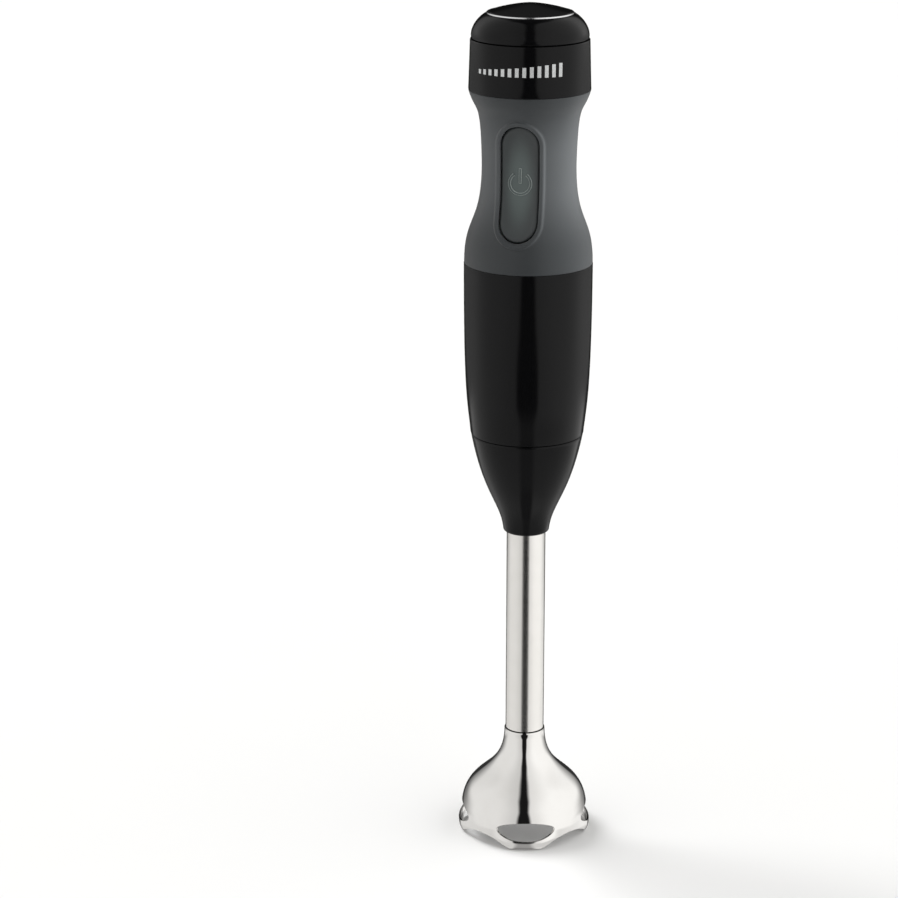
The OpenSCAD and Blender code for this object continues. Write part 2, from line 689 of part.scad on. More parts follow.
module dial_cap() color([0.05, 0.05, 0.055]) difference() {
  union() {
    solid_under(concat(dial_curve, [[ring_r - trim_ring_w, z_top - crown_h + 0.2]]));
    disc(skirt_r, z_dial - 2.3, z_dial + 1);
  }
  // hollow, and a boss for the spindle
  difference() {
    solid_under([[skirt_r - 2, z_dial - 3], [skirt_r - 2, z_dial + 4], [ring_r - 4, z_top - crown_h - 2.6]]);
    disc(spindle_r + 3, cam_z + cam_t, z_top);
  }
  disc(spindle_r, z_dial, z_top - crown_h - 1.6);
  // seat of the ring and the top disc
  disc(ring_r, z_top - crown_h - 1, z_top);
}

module dial_ring() color([0.85, 0.85, 0.86])
  ring(ring_r - disc_gap, ring_r - trim_ring_w, z_top - crown_h - 1, z_top - crown_h + 0.25);

module dial_disc() color([0.04, 0.04, 0.045]) intersection() {
  solid_under(concat([[ring_r - trim_ring_w - disc_gap, z_top - crown_h - 1]],
    [for (p = crown_curve) if (p.x < ring_r - trim_ring_w - disc_gap) p]));
  disc(ring_r, z_top - crown_h - 1, z_top + 1);
}

module dial_spindle() color([0.8, 0.8, 0.82]) disc(spindle_r, flange_z + flange_t + 5, z_top - crown_h - 1.7);

module dial_cam() color([0.9, 0.9, 0.88]) difference() {
  disc(cam_r, cam_z, cam_z + cam_t);
  disc(spindle_r, cam_z - 1, cam_z + cam_t + 1);
  for (a = [0, 45]) rotate(90 - a) translate([15, 0, 0]) disc(1.8, cam_z - 1, cam_z + 1);
}

module dial_circlip() color([0.6, 0.6, 0.62]) difference() {
  ring(spindle_r + 2.2, spindle_r, deck_z - 1.3, deck_z - 0.5);
  block(0, 9, -1.2, 1.2, deck_z - 2, deck_z);
}

// ================= lock ring =================

module lock_ring() color([0.2, 0.2, 0.21]) difference() {
  ring(ring_out_r, spigot_r + free, z_joint + mouth_lip + free, bulkhead_z - free);
  for (k = [0:lugs - 1]) rotate(360 / lugs * k) intersection() {
    ring(lug_r + free, spigot_r, z_joint, z_joint + lug_z + lug_h + free);
    wedge(lug_angle + 3, 40, z_joint - 1, bulkhead_z);
  }
}

// ================= blending arm =================

socket_r = spigot_r + 0.05;

module arm_adapter() color([0.05, 0.05, 0.055]) difference() {
  boss_r = tube_r + 2.9;
  room = 18;
  solid_under(adapter_curve);
  disc(tube_r, z_adapter - 1, z_joint);
  disc(socket_r, shelf_z, z_joint + 1);
  // hollow between the outer wall and the boss that holds the tube
  hollow = [for (p = adapter_curve) if (p.y > shelf_z - room && p.y < shelf_z && p.x - 2.6 > boss_r + 0.5)
    [min(p.x - 2.6, socket_r - 1.2), p.y]];
  turned(concat([[boss_r, hollow[0].y - 1]], hollow, [[socket_r - 1.2, shelf_z + 1], [boss_r, shelf_z + 1]]));
}

module arm_socket() color([0.16, 0.16, 0.17]) difference() {
  union() {
    ring(spigot_r, spigot_r - spigot_wall, shelf_z, z_joint + spigot_h);
    disc(spigot_r - 1, shelf_z, shelf_z + socket_floor);
    for (k = [0:lugs - 1]) rotate(360 / lugs * k) intersection() {
      ring(lug_r, spigot_r - 1, z_joint + lug_z, z_joint + lug_z + lug_h);
      wedge(lug_angle, 40, z_joint, z_joint + 20);
    }
  }
  disc(tube_r, shelf_z - 1, shelf_z + 5);
}

module joint_ring() color([0.1, 0.1, 0.1])
  ring(lug_r - free, spigot_r, z_joint - seam, z_joint + mouth_lip + 0.1);

tube_foot = bell_h - 22.6;      // lower end of the tube, inside the bell
tube_top = shelf_z + 4;

module arm_tube() color([0.85, 0.85, 0.86]) ring(tube_r, bore_r, tube_foot, tube_top);

module tube_clip() color([0.6, 0.6, 0.62]) difference() {
  ring(tube_r + 2, tube_r, shelf_z + socket_floor + 0.1, shelf_z + socket_floor + 1.3);
  block(0, 30, -2, 2, shelf_z, shelf_z + 8);
}

module upper_bush() color([0.75, 0.6, 0.35]) ring(bore_r, shaft_r + running, tube_top - 12, tube_top);
module lower_bush() color([0.75, 0.6, 0.35]) ring(bore_r, shaft_r + running, tube_foot + 4, tube_foot + 16);
module tube_seal() color([0.1, 0.1, 0.1]) ring(bore_r, shaft_r + turning, tube_foot, tube_foot + 4);

// Bell: a drawn dome, with four feet that swell out round the windows and a rim that rises between them.
bell_full_z = 9.2;              // the dome is widest here
foot_r = bell_r + foot_out;
foot_round_r = 22;              // radius of a foot in plan
foot_half = 15;                 // half the angle of a foot on the floor
neck_r = tube_r + 0.5;

dome_curve = concat([[bell_r - 0.7, 0], [bell_r - 0.2, 4.5]],
  curve([bell_r, bell_full_z], [neck_r, bell_h - 0.6], [0, 0.555], [1, 0.403], 20), [[neck_r - 0.3, bell_h]]);
foot_curve = curve([bell_r - 0.3, 0], [bell_r - 1.4, bell_full_z + 6],
  [-foot_out, 0.05], [-1.27 * foot_out, 0.43], 10);

window_power = 2.5;             // 2 gives an ellipse, and more squares its corners
window_sag = 0.8;               // drop of a window's upper edge at its ends
window_bow = 1.4;               // rise of its lower edge there

// Outline of a window: a long slot, nearly flat above and bowed below.
function window_outline(n = 40) = [for (i = [0:n - 1])
  let (a = 360 * i / n,
       x = sign(cos(a)) * pow(abs(cos(a)), 2 / window_power),
       z = sign(sin(a)) * pow(abs(sin(a)), 2 / window_power), share = (1 + z) / 2)
  [window_w / 2 * x, window_z + window_h * share - (share * window_sag - (1 - share) * window_bow) * x * x]];

module foot_plan(t) for (k = [0:3]) rotate(90 * k) translate([foot_r - foot_round_r, 0]) circle(foot_round_r - t);

module bell_mass(t) {
  solid_under(inset(dome_curve, t));
  intersection() {
    solid_under(inset(foot_curve, t));
    linear_extrude(air) foot_plan(t);
  }
}

module bell() color([0.85, 0.85, 0.86]) rotate(-90 + bell_turn) difference() {
  bell_mass(0);
  bell_mass(bell_wall);
  disc(bell_r - 4, -1, 5);
  disc(tube_r, 30, bell_h + 1);
  for (k = [0:3]) rotate(90 * k) {
    translate([18, 0, 0]) rotate([90, 0, 90]) linear_extrude(30) polygon(window_outline());
    // arch of the rim between two feet
    half = bell_r * sin(45 - foot_half);
    rim_r = (half * half + rim_rise * rim_rise) / (2 * rim_rise);
    rotate(45) translate([15, 0, rim_rise - rim_r]) rotate([0, 90, 0]) cylinder(r = rim_r, h = 30);
  }
}

// ================= blade shaft =================

blade_z = 10.7;
blade_t = 1.4;
blade_r = blade_d / 2;

module drive_shaft() color([0.8, 0.8, 0.82]) disc(shaft_r, blade_z - 3.5, cup_z + cup_floor - 0.4);

module driven_dog() color([0.16, 0.16, 0.17]) difference() {
  union() {
    disc(cup_r, cup_z, cup_z + cup_floor);
    ring(cup_r, cup_r - cup_wall, cup_z, cup_z + 11.5);
    dog_wings(dog_angle, cup_r - 1, dog_hub_r + 0.8, cup_z + 1, cup_z + 11.5, 0);
  }
  disc(shaft_r, cup_z - 1, cup_z + cup_floor - 0.4);
}

module blade_wing(tilt) {
  flat = 0.62 * blade_r;
  translate([0, 0, blade_z]) linear_extrude(blade_t) polygon([[-4, -5], [flat, -5.5], [flat, 3], [-4, 5]]);
  translate([flat - 0.6, 0, blade_z]) rotate([0, -tilt, 0]) linear_extrude(blade_t)
    polygon([[0, -5.5], [0.34 * blade_r, -5], [0.38 * blade_r, -1], [0, 3]]);
}

module blade() color([0.8, 0.8, 0.82]) difference() {
  union() {
    blade_wing(28);
    rotate(180) blade_wing(-20);
    disc(6, blade_z, blade_z + blade_t);
  }
  disc(shaft_r, blade_z - 2, blade_z + 4);
}

module blade_hub() color([0.6, 0.6, 0.62]) {
  difference() {
    translate([0, 0, blade_z - 4.3]) cylinder(r1 = shaft_r + 1, r2 = shaft_r + 2, h = 4.3);
    disc(shaft_r, blade_z - 3.5, blade_z + 1);
  }
  ring(shaft_r + 2.2, shaft_r, blade_z + blade_t, blade_z + blade_t + 4);
}

motor_housing();
grip_sleeve();
top_collar();
cord_gland();
cord_clamp();
clamp_screws();
carrier_frame();
carrier_screws();
control_board();
capacitor();
heat_sink();
choke();
terminal_block();
power_switch();
speed_switch();
detent_spring();
button_springs();
lead_wires();
stator_core();
field_coils();
upper_bracket();
lower_bracket();
upper_bearing();
lower_bearing();
brush_holders();
carbon_brushes();
brush_springs();
motor_bolts();
upper_mount();
lower_mount();
bulkhead();
bulkhead_seal();
motor_shaft();
armature_core();
armature_windings();
commutator();
cooling_fan();
drive_dog();
power_button();
switch_plunger();
dial_cap();
dial_ring();
dial_disc();
dial_spindle();
dial_cam();
dial_circlip();
lock_ring();
arm_adapter();
arm_socket();
joint_ring();
arm_tube();
bell();
tube_clip();
upper_bush();
lower_bush();
tube_seal();
drive_shaft();
driven_dog();
blade();
blade_hub();
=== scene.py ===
"""Immersion blender: gloss black body with a soft grip, on a polished steel arm and bell."""
import json
from math import asin, atan2, cos, pi, radians, sin, sqrt

import bpy
from mathutils import Matrix, Vector


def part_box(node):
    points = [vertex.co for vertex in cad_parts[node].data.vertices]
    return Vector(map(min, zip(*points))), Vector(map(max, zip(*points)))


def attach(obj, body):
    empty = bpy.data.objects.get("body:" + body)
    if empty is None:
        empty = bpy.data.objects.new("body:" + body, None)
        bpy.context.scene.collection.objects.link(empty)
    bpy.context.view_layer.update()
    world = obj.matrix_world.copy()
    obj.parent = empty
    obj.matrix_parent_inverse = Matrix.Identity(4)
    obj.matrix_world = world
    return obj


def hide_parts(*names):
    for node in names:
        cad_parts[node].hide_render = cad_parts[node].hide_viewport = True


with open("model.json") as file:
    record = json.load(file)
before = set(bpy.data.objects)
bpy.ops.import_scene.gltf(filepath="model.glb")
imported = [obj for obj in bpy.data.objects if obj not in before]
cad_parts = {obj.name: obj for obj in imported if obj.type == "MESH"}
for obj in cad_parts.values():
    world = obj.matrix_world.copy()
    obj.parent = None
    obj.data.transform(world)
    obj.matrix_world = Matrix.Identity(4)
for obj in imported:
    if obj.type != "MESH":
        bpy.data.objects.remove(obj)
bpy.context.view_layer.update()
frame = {"nodes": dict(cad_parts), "record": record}
scene = bpy.context.scene

# ---- Camera ----
# A long portrait lens, a little above the top of the blender and looking down on it. It stands
# to the right of the power button, so the button is turned slightly to the left.
camera_turn = radians(13.8)
camera_side, camera_back, camera_height = -0.037, 1.306, 0.5922
lens = bpy.data.cameras.new("portrait_lens")
lens.lens, lens.sensor_width, lens.clip_end = 115.06, 36, 60
camera = bpy.data.objects.new("camera", lens)
camera.location = (camera_side * cos(camera_turn) + camera_back * sin(camera_turn),
                   camera_side * sin(camera_turn) - camera_back * cos(camera_turn), camera_height)
camera.rotation_euler = (radians(90 - 16.95), 0, camera_turn)
scene.collection.objects.link(camera)
scene.camera = camera
scene.view_settings.view_transform = "Standard"

# ---- Studio ----
# Two white walls of light stand left and right of the camera with a dark gap between them. The
# gap is what draws the dark line down every polished round piece. A white table carries it all.


def add_node(tree, kind, values=(), links=(), **settings):
    """Adds a node with its settings, its sockets' values and the sockets that feed it."""
    node = tree.nodes.new(kind)
    for key, value in settings.items():
        setattr(node, key, value)
    for key, value in dict(values).items():
        node.inputs[key].default_value = value
    for key, source in dict(links).items():
        tree.links.new(source, node.inputs[key])
    return node


def linear(code, alpha=1.0):
    """Linear colour of an sRGB hex value."""
    parts = [int(code[i:i + 2], 16) / 255 for i in (1, 3, 5)]
    return [c / 12.92 if c <= 0.04045 else ((c + 0.055) / 1.055) ** 2.4 for c in parts] + [alpha]


def new_material(name, constants):
    """A material, its node tree, its shader with these constants, and the coordinates it reads."""
    material = bpy.data.materials.new(name)
    material.use_nodes = True
    tree = material.node_tree
    shader = tree.nodes["Principled BSDF"]
    for socket, value in constants.items():
        shader.inputs[socket].default_value = value
    return material, tree, shader, add_node(tree, "ShaderNodeTexCoord").outputs["Object"]


def feed(shader, *sources):
    """Links sources to the shader's colour, roughness and normal, in that order."""
    for socket, source in zip(("Base Color", "Roughness", "Normal"), sources):
        if source:
            shader.id_data.links.new(source, shader.inputs[socket])


sight = camera_turn - atan2(-camera_side, camera_back)    # from the blender's axis to the camera
to_right = (cos(sight), sin(sight), 0)
to_back = (-sin(sight), cos(sight), 0)
world = bpy.data.worlds.new("studio_light")
world.use_nodes = True
scene.world = world
sky = world.node_tree
sky.nodes.clear()
ray = add_node(sky, "ShaderNodeTexCoord").outputs["Generated"]
found = {name: add_node(sky, "ShaderNodeVectorMath", {1: along}, {0: ray},
                        operation="DOT_PRODUCT").outputs["Value"]
         for name, along in (("across", to_right), ("depth", to_back), ("rise", (0, 0, 1)))}

# Each step names a value for one direction of light, worked out from earlier values or numbers.
# RAMP runs smoothly between two levels while its source goes from one number to another, MIX
# blends two values by its first, and the others are sums.
left_level, right_level, table_level = 1.05, 1.34, 0.84
light_steps = (
    # half of the gap between the walls: wider at their foot and behind, narrower overhead
    ("foot_top", "RAMP", "rise", -0.24, -0.32, 0, 1),
    ("foot_gap", "RAMP", "rise", -0.5, -0.4, 0, 0.11),
    ("foot_of_walls", "MULTIPLY", "foot_top", "foot_gap"),
    ("side_gap", "RAMP", "rise", -0.1, 0.35, 0.21, 0.155),
    ("low_gap", "ADD", "side_gap", "foot_of_walls"),
    ("overhead", "RAMP", "rise", 0.7, 1.0, 0, -0.045),
    ("high_gap", "ADD", "low_gap", "overhead"),
    ("rear_gap", "RAMP", "depth", -0.1, 0.3, 0, 0.2),
    ("gap", "ADD", "high_gap", "rear_gap"),
    # a wall brightens sharply at its edge and then slowly away from it
    ("sideways", "ABSOLUTE", "across"),
    ("past_gap", "SUBTRACT", "sideways", "gap"),
    ("sharp_edge", "RAMP", "past_gap", -0.06, 0.06, 0, 0.78),
    ("slow_edge", "RAMP", "past_gap", 0.0, 0.6, 0, 0.22),
    ("on_wall", "ADD", "sharp_edge", "slow_edge"),
    ("wall", "RAMP", "across", -0.1, 0.1, left_level, right_level),
    ("dim_gap", "RAMP", "depth", 0.0, 0.6, 0.012, 0.2),
    ("floor_gap", "RAMP", "rise", -0.8, -0.95, 0, 0.3),
    ("in_gap", "ADD", "dim_gap", "floor_gap"),
    ("room", "MIX", "on_wall", "in_gap", "wall"),
    # the lit table shows below the walls, except close to the blender, which shades it
    ("table_far", "RAMP", "rise", -0.41, -0.52, 0, 1),
    ("table_near", "RAMP", "rise", -0.93, -0.83, 0, 1),
    ("lit_table", "MULTIPLY", "table_far", "table_near"),
    ("table_back", "RAMP", "depth", 0.5, 0.8, table_level, 0.4),
    ("table_gap", "RAMP", "sideways", 0.12, 0.3, 0.5, 1),
    ("table_light", "MULTIPLY", "table_back", "table_gap"),
    ("all_round", "MIX", "lit_table", "room", "table_light"),
    # the walls fade behind the blender, and later above them and at their foot
    ("soon", "RAMP", "depth", 0.15, 0.95, 1.0, 0.2),
    ("above_walls", "RAMP", "rise", -0.2, 0.15, 0, 1),
    ("below_walls", "RAMP", "rise", -0.3, -0.36, 0, 1),
    ("fades_late", "ADD", "above_walls", "below_walls"),
    ("late_turn", "RAMP", "depth", 0.6, 1.0, 0, 1),
    ("late_level", "RAMP", "rise", -0.3, -0.2, 0.6, 0.2),
    ("late", "MIX", "late_turn", 1.0, "late_level"),
    ("back", "MIX", "fades_late", "soon", "late"),
    # straight behind it, nothing above the table is lit
    ("over_table", "RAMP", "rise", -0.12, 0.02, 0, 1),
    ("unlit", "RAMP", "depth", 0.88, 0.96, 1.0, 0.3),
    ("behind", "MIX", "over_table", 1.0, "unlit"),
    ("faded", "MULTIPLY", "all_round", "back"),
    ("level", "MULTIPLY", "faded", "behind"),
)
step_nodes = {"RAMP": ("ShaderNodeMapRange", (0, 1, 2, 3, 4), {"interpolation_type": "SMOOTHSTEP"}),
              "MIX": ("ShaderNodeMix", (0, 2, 3), {})}
for name, step, *terms in light_steps:
    kind, sockets, settings = step_nodes.get(step, ("ShaderNodeMath", (0, 1), {"operation": step}))
    fed = list(zip(sockets, terms))
    found[name] = add_node(sky, kind, {socket: term for socket, term in fed if term not in found},
                           {socket: found[term] for socket, term in fed if term in found},
                           **settings).outputs[0]
light = add_node(sky, "ShaderNodeBackground", {0: (1, 0.995, 0.985, 1)}, {1: found["level"]}).outputs[0]
paper = add_node(sky, "ShaderNodeBackground", {0: (1, 1, 1, 1), 1: 1.0}).outputs[0]
seen = add_node(sky, "ShaderNodeLightPath").outputs["Is Camera Ray"]
shown = add_node(sky, "ShaderNodeMixShader", links={0: seen, 1: light, 2: paper}).outputs[0]
add_node(sky, "ShaderNodeOutputWorld", links={0: shown})

bpy.ops.object.select_all(action="DESELECT")
bpy.ops.mesh.primitive_plane_add(size=24)
table = bpy.context.object
table.name = "white_table"
table.visible_glossy = False
paint, tree, shader, where = new_material("matt_white_table", {"Roughness": 0.9, "Specular IOR Level": 0.0})
cloud = add_node(tree, "ShaderNodeTexNoise", {"Scale": 3.0}, {"Vector": where}).outputs[0]
white = add_node(tree, "ShaderNodeMix", {6: linear("#EBEBEA"), 7: linear("#EDEDED")}, {0: cloud},
                 data_type="RGBA").outputs[2]
feed(shader, white)
table.data.materials.append(paint)

# a wide, far lamp behind the left shoulder of the blender lays its soft shadow to the right
lamp = bpy.data.lights.new("far_soft_lamp", "SUN")
lamp.angle, lamp.energy = radians(28), 1.7
key = bpy.data.objects.new("far_soft_lamp", lamp)
key_from = Matrix.Rotation(camera_turn, 3, "Z") @ Vector((-1.0, 0.9, 1.9))
key.rotation_euler = (-key_from).to_track_quat("-Z", "Y").to_euler()
key.visible_glossy = key.visible_camera = False
scene.collection.objects.link(key)
on_table = bpy.data.collections.new("lit_by_far_soft_lamp")
on_table.objects.link(table)
key.light_linking.receiver_collection = on_table

# ---- Speed dial ----
# A gloss black ABS cap that turns on top of the collar. It is injection moulded and polished,
# with a bright ring and a domed top disc pressed into its seat.
MM = 0.001
weld = 1e-6                      # corners closer than this are one
smooth_limit = radians(38)       # sharper edges than this stay crisp


def extent(node):
    """Radius, foot and top of a round CAD node, in millimetres."""
    low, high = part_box(node)
    return high.x / MM, low.z / MM, high.z / MM


def curve(a, b, start, end, steps=40):
    """Points on a cubic curve from a to b; start and end place its handles as shares of the way."""
    p = [a[i] + start[i] * (b[i] - a[i]) for i in (0, 1)]
    q = [a[i] + end[i] * (b[i] - a[i]) for i in (0, 1)]
    shares = [k / steps for k in range(steps + 1)]
    return [tuple((1 - t) ** 3 * a[i] + 3 * (1 - t) ** 2 * t * p[i] + 3 * (1 - t) * t * t * q[i] + t ** 3 * b[i]
                  for i in (0, 1)) for t in shares]


def arc(centre, radius, first, last, steps=6):
    """Points on an arc, from and to an angle in degrees."""
    turns = [radians(first + (last - first) * k / steps) for k in range(steps + 1)]
    return [(centre[0] + radius * cos(t), centre[1] + radius * sin(t)) for t in turns]


def turned(name, outline, steps=192):
    """A closed outline of (radius, height) in millimetres, spun round the axis."""
    bpy.ops.object.select_all(action="DESELECT")
    bpy.ops.mesh.primitive_plane_add(size=MM, location=(outline[0][0] * MM, 0, outline[0][1] * MM))
    piece = bpy.context.object
    piece.name = piece.data.name = name
    bpy.ops.object.mode_set(mode="EDIT")
    bpy.ops.mesh.select_mode(type="VERT")
    bpy.ops.mesh.select_all(action="SELECT")
    bpy.ops.mesh.merge(type="CENTER")
    for here, there in zip(outline, outline[1:] + outline[:1]):
        step = ((there[0] - here[0]) * MM, 0, (there[1] - here[1]) * MM)
        bpy.ops.mesh.extrude_region_move(TRANSFORM_OT_translate={"value": step})
    bpy.ops.mesh.select_all(action="SELECT")
    bpy.ops.mesh.spin(steps=steps, angle=2 * pi, center=(0, 0, 0), axis=(0, 0, 1))
    bpy.ops.mesh.select_all(action="SELECT")
    bpy.ops.mesh.remove_doubles(threshold=weld)
    bpy.ops.mesh.normals_make_consistent(inside=False)
    bpy.ops.object.mode_set(mode="OBJECT")
    bpy.ops.object.transform_apply(location=True, rotation=True, scale=True)
    bpy.ops.object.shade_smooth_by_angle(angle=smooth_limit)
    return piece


def fitted(piece, material, body, slot, *nodes):
    """Gives a piece its material and the body it rides on, and hides the CAD nodes it stands for; slot is not
    used.
    """
    piece.data.materials.append(material)
    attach(piece, body)
    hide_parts(*nodes)


# Gloss black ABS from a mirror-polished tool: a deep black with clear reflections, only a very
# faint orange peel, and the fine hairlines that wiping leaves.
gloss_black, tree, shader, where = new_material("gloss_black_abs", {"Specular IOR Level": 0.14, "IOR": 1.5})
peel = add_node(tree, "ShaderNodeTexNoise", {"Scale": 1 / (2.5 * MM), "Detail": 1.0}, {"Vector": where}).outputs[0]
wiped = add_node(tree, "ShaderNodeMapping", {"Scale": (1, 1, 9)}, {"Vector": where}).outputs[0]
hairs = add_node(tree, "ShaderNodeTexNoise", {"Scale": 1 / (6 * MM), "Detail": 6.0, "Roughness": 0.7},
                 {"Vector": wiped}).outputs[0]
tone = add_node(tree, "ShaderNodeMix", {6: linear("#070708"), 7: linear("#0C0C0D")}, {0: hairs},
                data_type="RGBA").outputs[2]
sheen = add_node(tree, "ShaderNodeMapRange", {1: 0.35, 2: 0.7, 3: 0.09, 4: 0.13}, {0: hairs}).outputs[0]
skin = add_node(tree, "ShaderNodeBump", {"Strength": 0.012, "Distance": 0.1 * MM}, {"Height": peel}).outputs[0]
feed(shader, tone, sheen, skin)

dial_r, dial_low, _ = extent("dial_cap")
collar_r, _, z_dial = extent("top_collar")
_, _, z_top = extent("dial_disc")
ring_r = extent("dial_ring")[0] + 0.1
ring_w, crown_h, seam = 1.1, 4.6, 0.3
z_ring = z_top - crown_h
skirt_r = collar_r - 3.6
dial_curve = curve((dial_r, z_dial + seam + 0.5), (ring_r + 0.12, z_ring - 0.05), (-0.063, 0.323), (0.324, 0.765))
dial_shell = turned("dial_shell", [
    (skirt_r - 2, dial_low), (skirt_r, dial_low), (skirt_r, z_dial + seam)]
    + arc((dial_r - 0.5, z_dial + seam + 0.5), 0.5, -90, -8, 5) + dial_curve
    + [(ring_r + 0.03, z_ring - 0.12), (ring_r, z_ring - 0.3), (ring_r, z_ring - 1), (0, z_ring - 1),
       (0, z_ring - 2.6), (ring_r - 4, z_ring - 2.6), (skirt_r - 2, z_dial + 4)])
fitted(dial_shell, gloss_black, "speed_dial", "gloss_black", "dial_cap")

# The bright ring is pressed from thin sheet and chrome plated, with a rounded face.
chrome, tree, shader, where = new_material("chrome_plate", {"Metallic": 1.0})
haze = add_node(tree, "ShaderNodeTexNoise", {"Scale": 1 / (1.5 * MM), "Detail": 4.0}, {"Vector": where}).outputs[0]
tone = add_node(tree, "ShaderNodeMix", {6: linear("#C9C9CA"), 7: linear("#DADADB")}, {0: haze},
                data_type="RGBA").outputs[2]
blur = add_node(tree, "ShaderNodeMapRange", {1: 0.3, 2: 0.7, 3: 0.16, 4: 0.24}, {0: haze}).outputs[0]
feed(shader, tone, blur)
ring_in, ring_out = ring_r - ring_w, ring_r - 0.06
trim_ring = turned("trim_ring", [(ring_in, z_ring - 1), (ring_out, z_ring - 1), (ring_out, z_ring + 0.08)]
                   + arc(((ring_in + ring_out) / 2, z_ring + 0.08), (ring_out - ring_in) / 2, 15, 165, 8)
                   + [(ring_in, z_ring + 0.08)])
fitted(trim_ring, chrome, "speed_dial", "bright_trim", "dial_ring")

# The top disc is a second moulding, domed and snapped in from above.
disc_r = ring_in - 0.08
crown = [p for p in curve((ring_r, z_ring), (0, z_top), (0.121, 0.41), (0.8, 1)) if p[0] < disc_r - 0.3]
top_disc = turned("top_disc", [(0, z_ring - 1), (disc_r, z_ring - 1), (disc_r, crown[0][1] - 0.35),
                               (disc_r - 0.08, crown[0][1] - 0.12)] + crown)
fitted(top_disc, gloss_black, "speed_dial", "gloss_black", "dial_disc")

# ---- Collar ----
# A gloss black ABS ring with a slight taper, moulded in one piece and screwed to the inner
# frame. The mains lead comes in through a round seat in its back.
z_collar = extent("grip_sleeve")[2]
collar_taper, collar_wall = 0.7, 2.5
collar_top_r = collar_r - collar_taper
collar_shell = turned("collar_shell",
    arc((collar_r - 0.45, z_collar + 0.45), 0.45, -90, 0, 5)
    + arc((collar_top_r - 0.5, z_dial - 0.5), 0.5, 0, 90, 5)
    + [(collar_top_r - collar_wall, z_dial), (collar_top_r - collar_wall, z_collar)])

gland_low, gland_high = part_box("cord_gland")
gland_z = (gland_low.z + gland_high.z) / 2
gland_r = (gland_high.z - gland_low.z) / 2          # flange
seat_y = gland_high.y - 3.4 * MM                    # face that the flange lies on


def bored(piece, radius, start, end, height):
    """Cuts a round hole along Y out of a piece."""
    bpy.ops.object.select_all(action="DESELECT")
    bpy.ops.mesh.primitive_cylinder_add(vertices=96, radius=radius, depth=end - start,
                                        location=(0, (start + end) / 2, height), rotation=(pi / 2, 0, 0))
    drill = bpy.context.object
    bpy.ops.object.select_all(action="DESELECT")
    piece.select_set(True)
    bpy.context.view_layer.objects.active = piece
    cut = piece.modifiers.new("hole", "BOOLEAN")
    cut.operation, cut.object, cut.solver = "DIFFERENCE", drill, "EXACT"
    bpy.ops.object.modifier_apply(modifier=cut.name)
    bpy.data.objects.remove(drill)
    bpy.ops.object.shade_smooth_by_angle(angle=smooth_limit)


bored(collar_shell, gland_r + 0.1 * MM, seat_y, 0.05, gland_z)
bored(collar_shell, gland_r - 2.2 * MM, 0.01, 0.05, gland_z)
fitted(collar_shell, gloss_black, "motor_body", "gloss_black", "top_collar")

# ---- Speed scale ----
# A row of rising bars, hot-stamped in silver foil on the front of the collar, from slow to
# fast. The foil is only a few hundredths of a millimetre thick and a little grainy.
foil, tree, shader, where = new_material("silver_hot_foil", {"Metallic": 0.35, "Roughness": 0.45})
grain = add_node(tree, "ShaderNodeTexNoise", {"Scale": 1 / (0.5 * MM), "Detail": 3.0},
                 {"Vector": where}).outputs[0]
tone = add_node(tree, "ShaderNodeMix", {6: linear("#AEB0B0"), 7: linear("#D6D8D8")}, {0: grain},
                data_type="RGBA").outputs[2]
feed(shader, tone)


def wrapped(name, columns, rows, place):
    """A sheet of columns by rows of faces, each corner laid where place(column, row) says, in millimetres."""
    bpy.ops.object.select_all(action="DESELECT")
    bpy.ops.mesh.primitive_grid_add(x_subdivisions=columns, y_subdivisions=rows, size=2)
    piece = bpy.context.object
    piece.name = piece.data.name = name
    for vertex in piece.data.vertices:
        column = round((vertex.co.x + 1) / 2 * columns)
        row = round((vertex.co.y + 1) / 2 * rows)
        vertex.co = Vector(place(column, row)) * MM
    return piece


def joined(name, pieces, wall=0.0):
    """Joins sheets that share their edges into one skin, and gives it a wall inwards."""
    bpy.ops.object.select_all(action="DESELECT")
    for piece in pieces:
        piece.select_set(True)
    bpy.context.view_layer.objects.active = pieces[0]
    if len(pieces) > 1:
        bpy.ops.object.join()
    skin = bpy.context.object
    skin.name = skin.data.name = name
    bpy.ops.object.mode_set(mode="EDIT")
    bpy.ops.mesh.select_all(action="SELECT")
    bpy.ops.mesh.remove_doubles(threshold=weld)
    bpy.ops.mesh.normals_make_consistent(inside=False)
    bpy.ops.object.mode_set(mode="OBJECT")
    if wall:
        shell = skin.modifiers.new("wall", "SOLIDIFY")
        shell.thickness, shell.offset = wall * MM, -1
        bpy.ops.object.modifier_apply(modifier=shell.name)
    bpy.ops.object.shade_smooth_by_angle(angle=smooth_limit)
    return skin


bar_count, bar_w, bar_pitch, bar_foot = 13, 1.7, 3.4, 9.8
short_bar, tall_bar, foil_lift = 2.0, 6.2, 0.04
bars = []
for k in range(bar_count):
    bar_h = short_bar + (tall_bar - short_bar) * k / (bar_count - 1)

    def on_collar(column, row):
        height = bar_foot + bar_h * row / 4
        radius = collar_r - collar_taper * height / (z_dial - z_collar) + foil_lift
        turn = ((k - (bar_count - 1) / 2) * bar_pitch + bar_w * (column / 3 - 0.5)) / radius
        return radius * sin(turn), -radius * cos(turn), z_collar + height

    bars.append(wrapped("bar", 3, 4, on_collar))
scale = joined("speed_scale", bars, 0.03)
scale.data.materials.append(foil)
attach(scale, "motor_body")

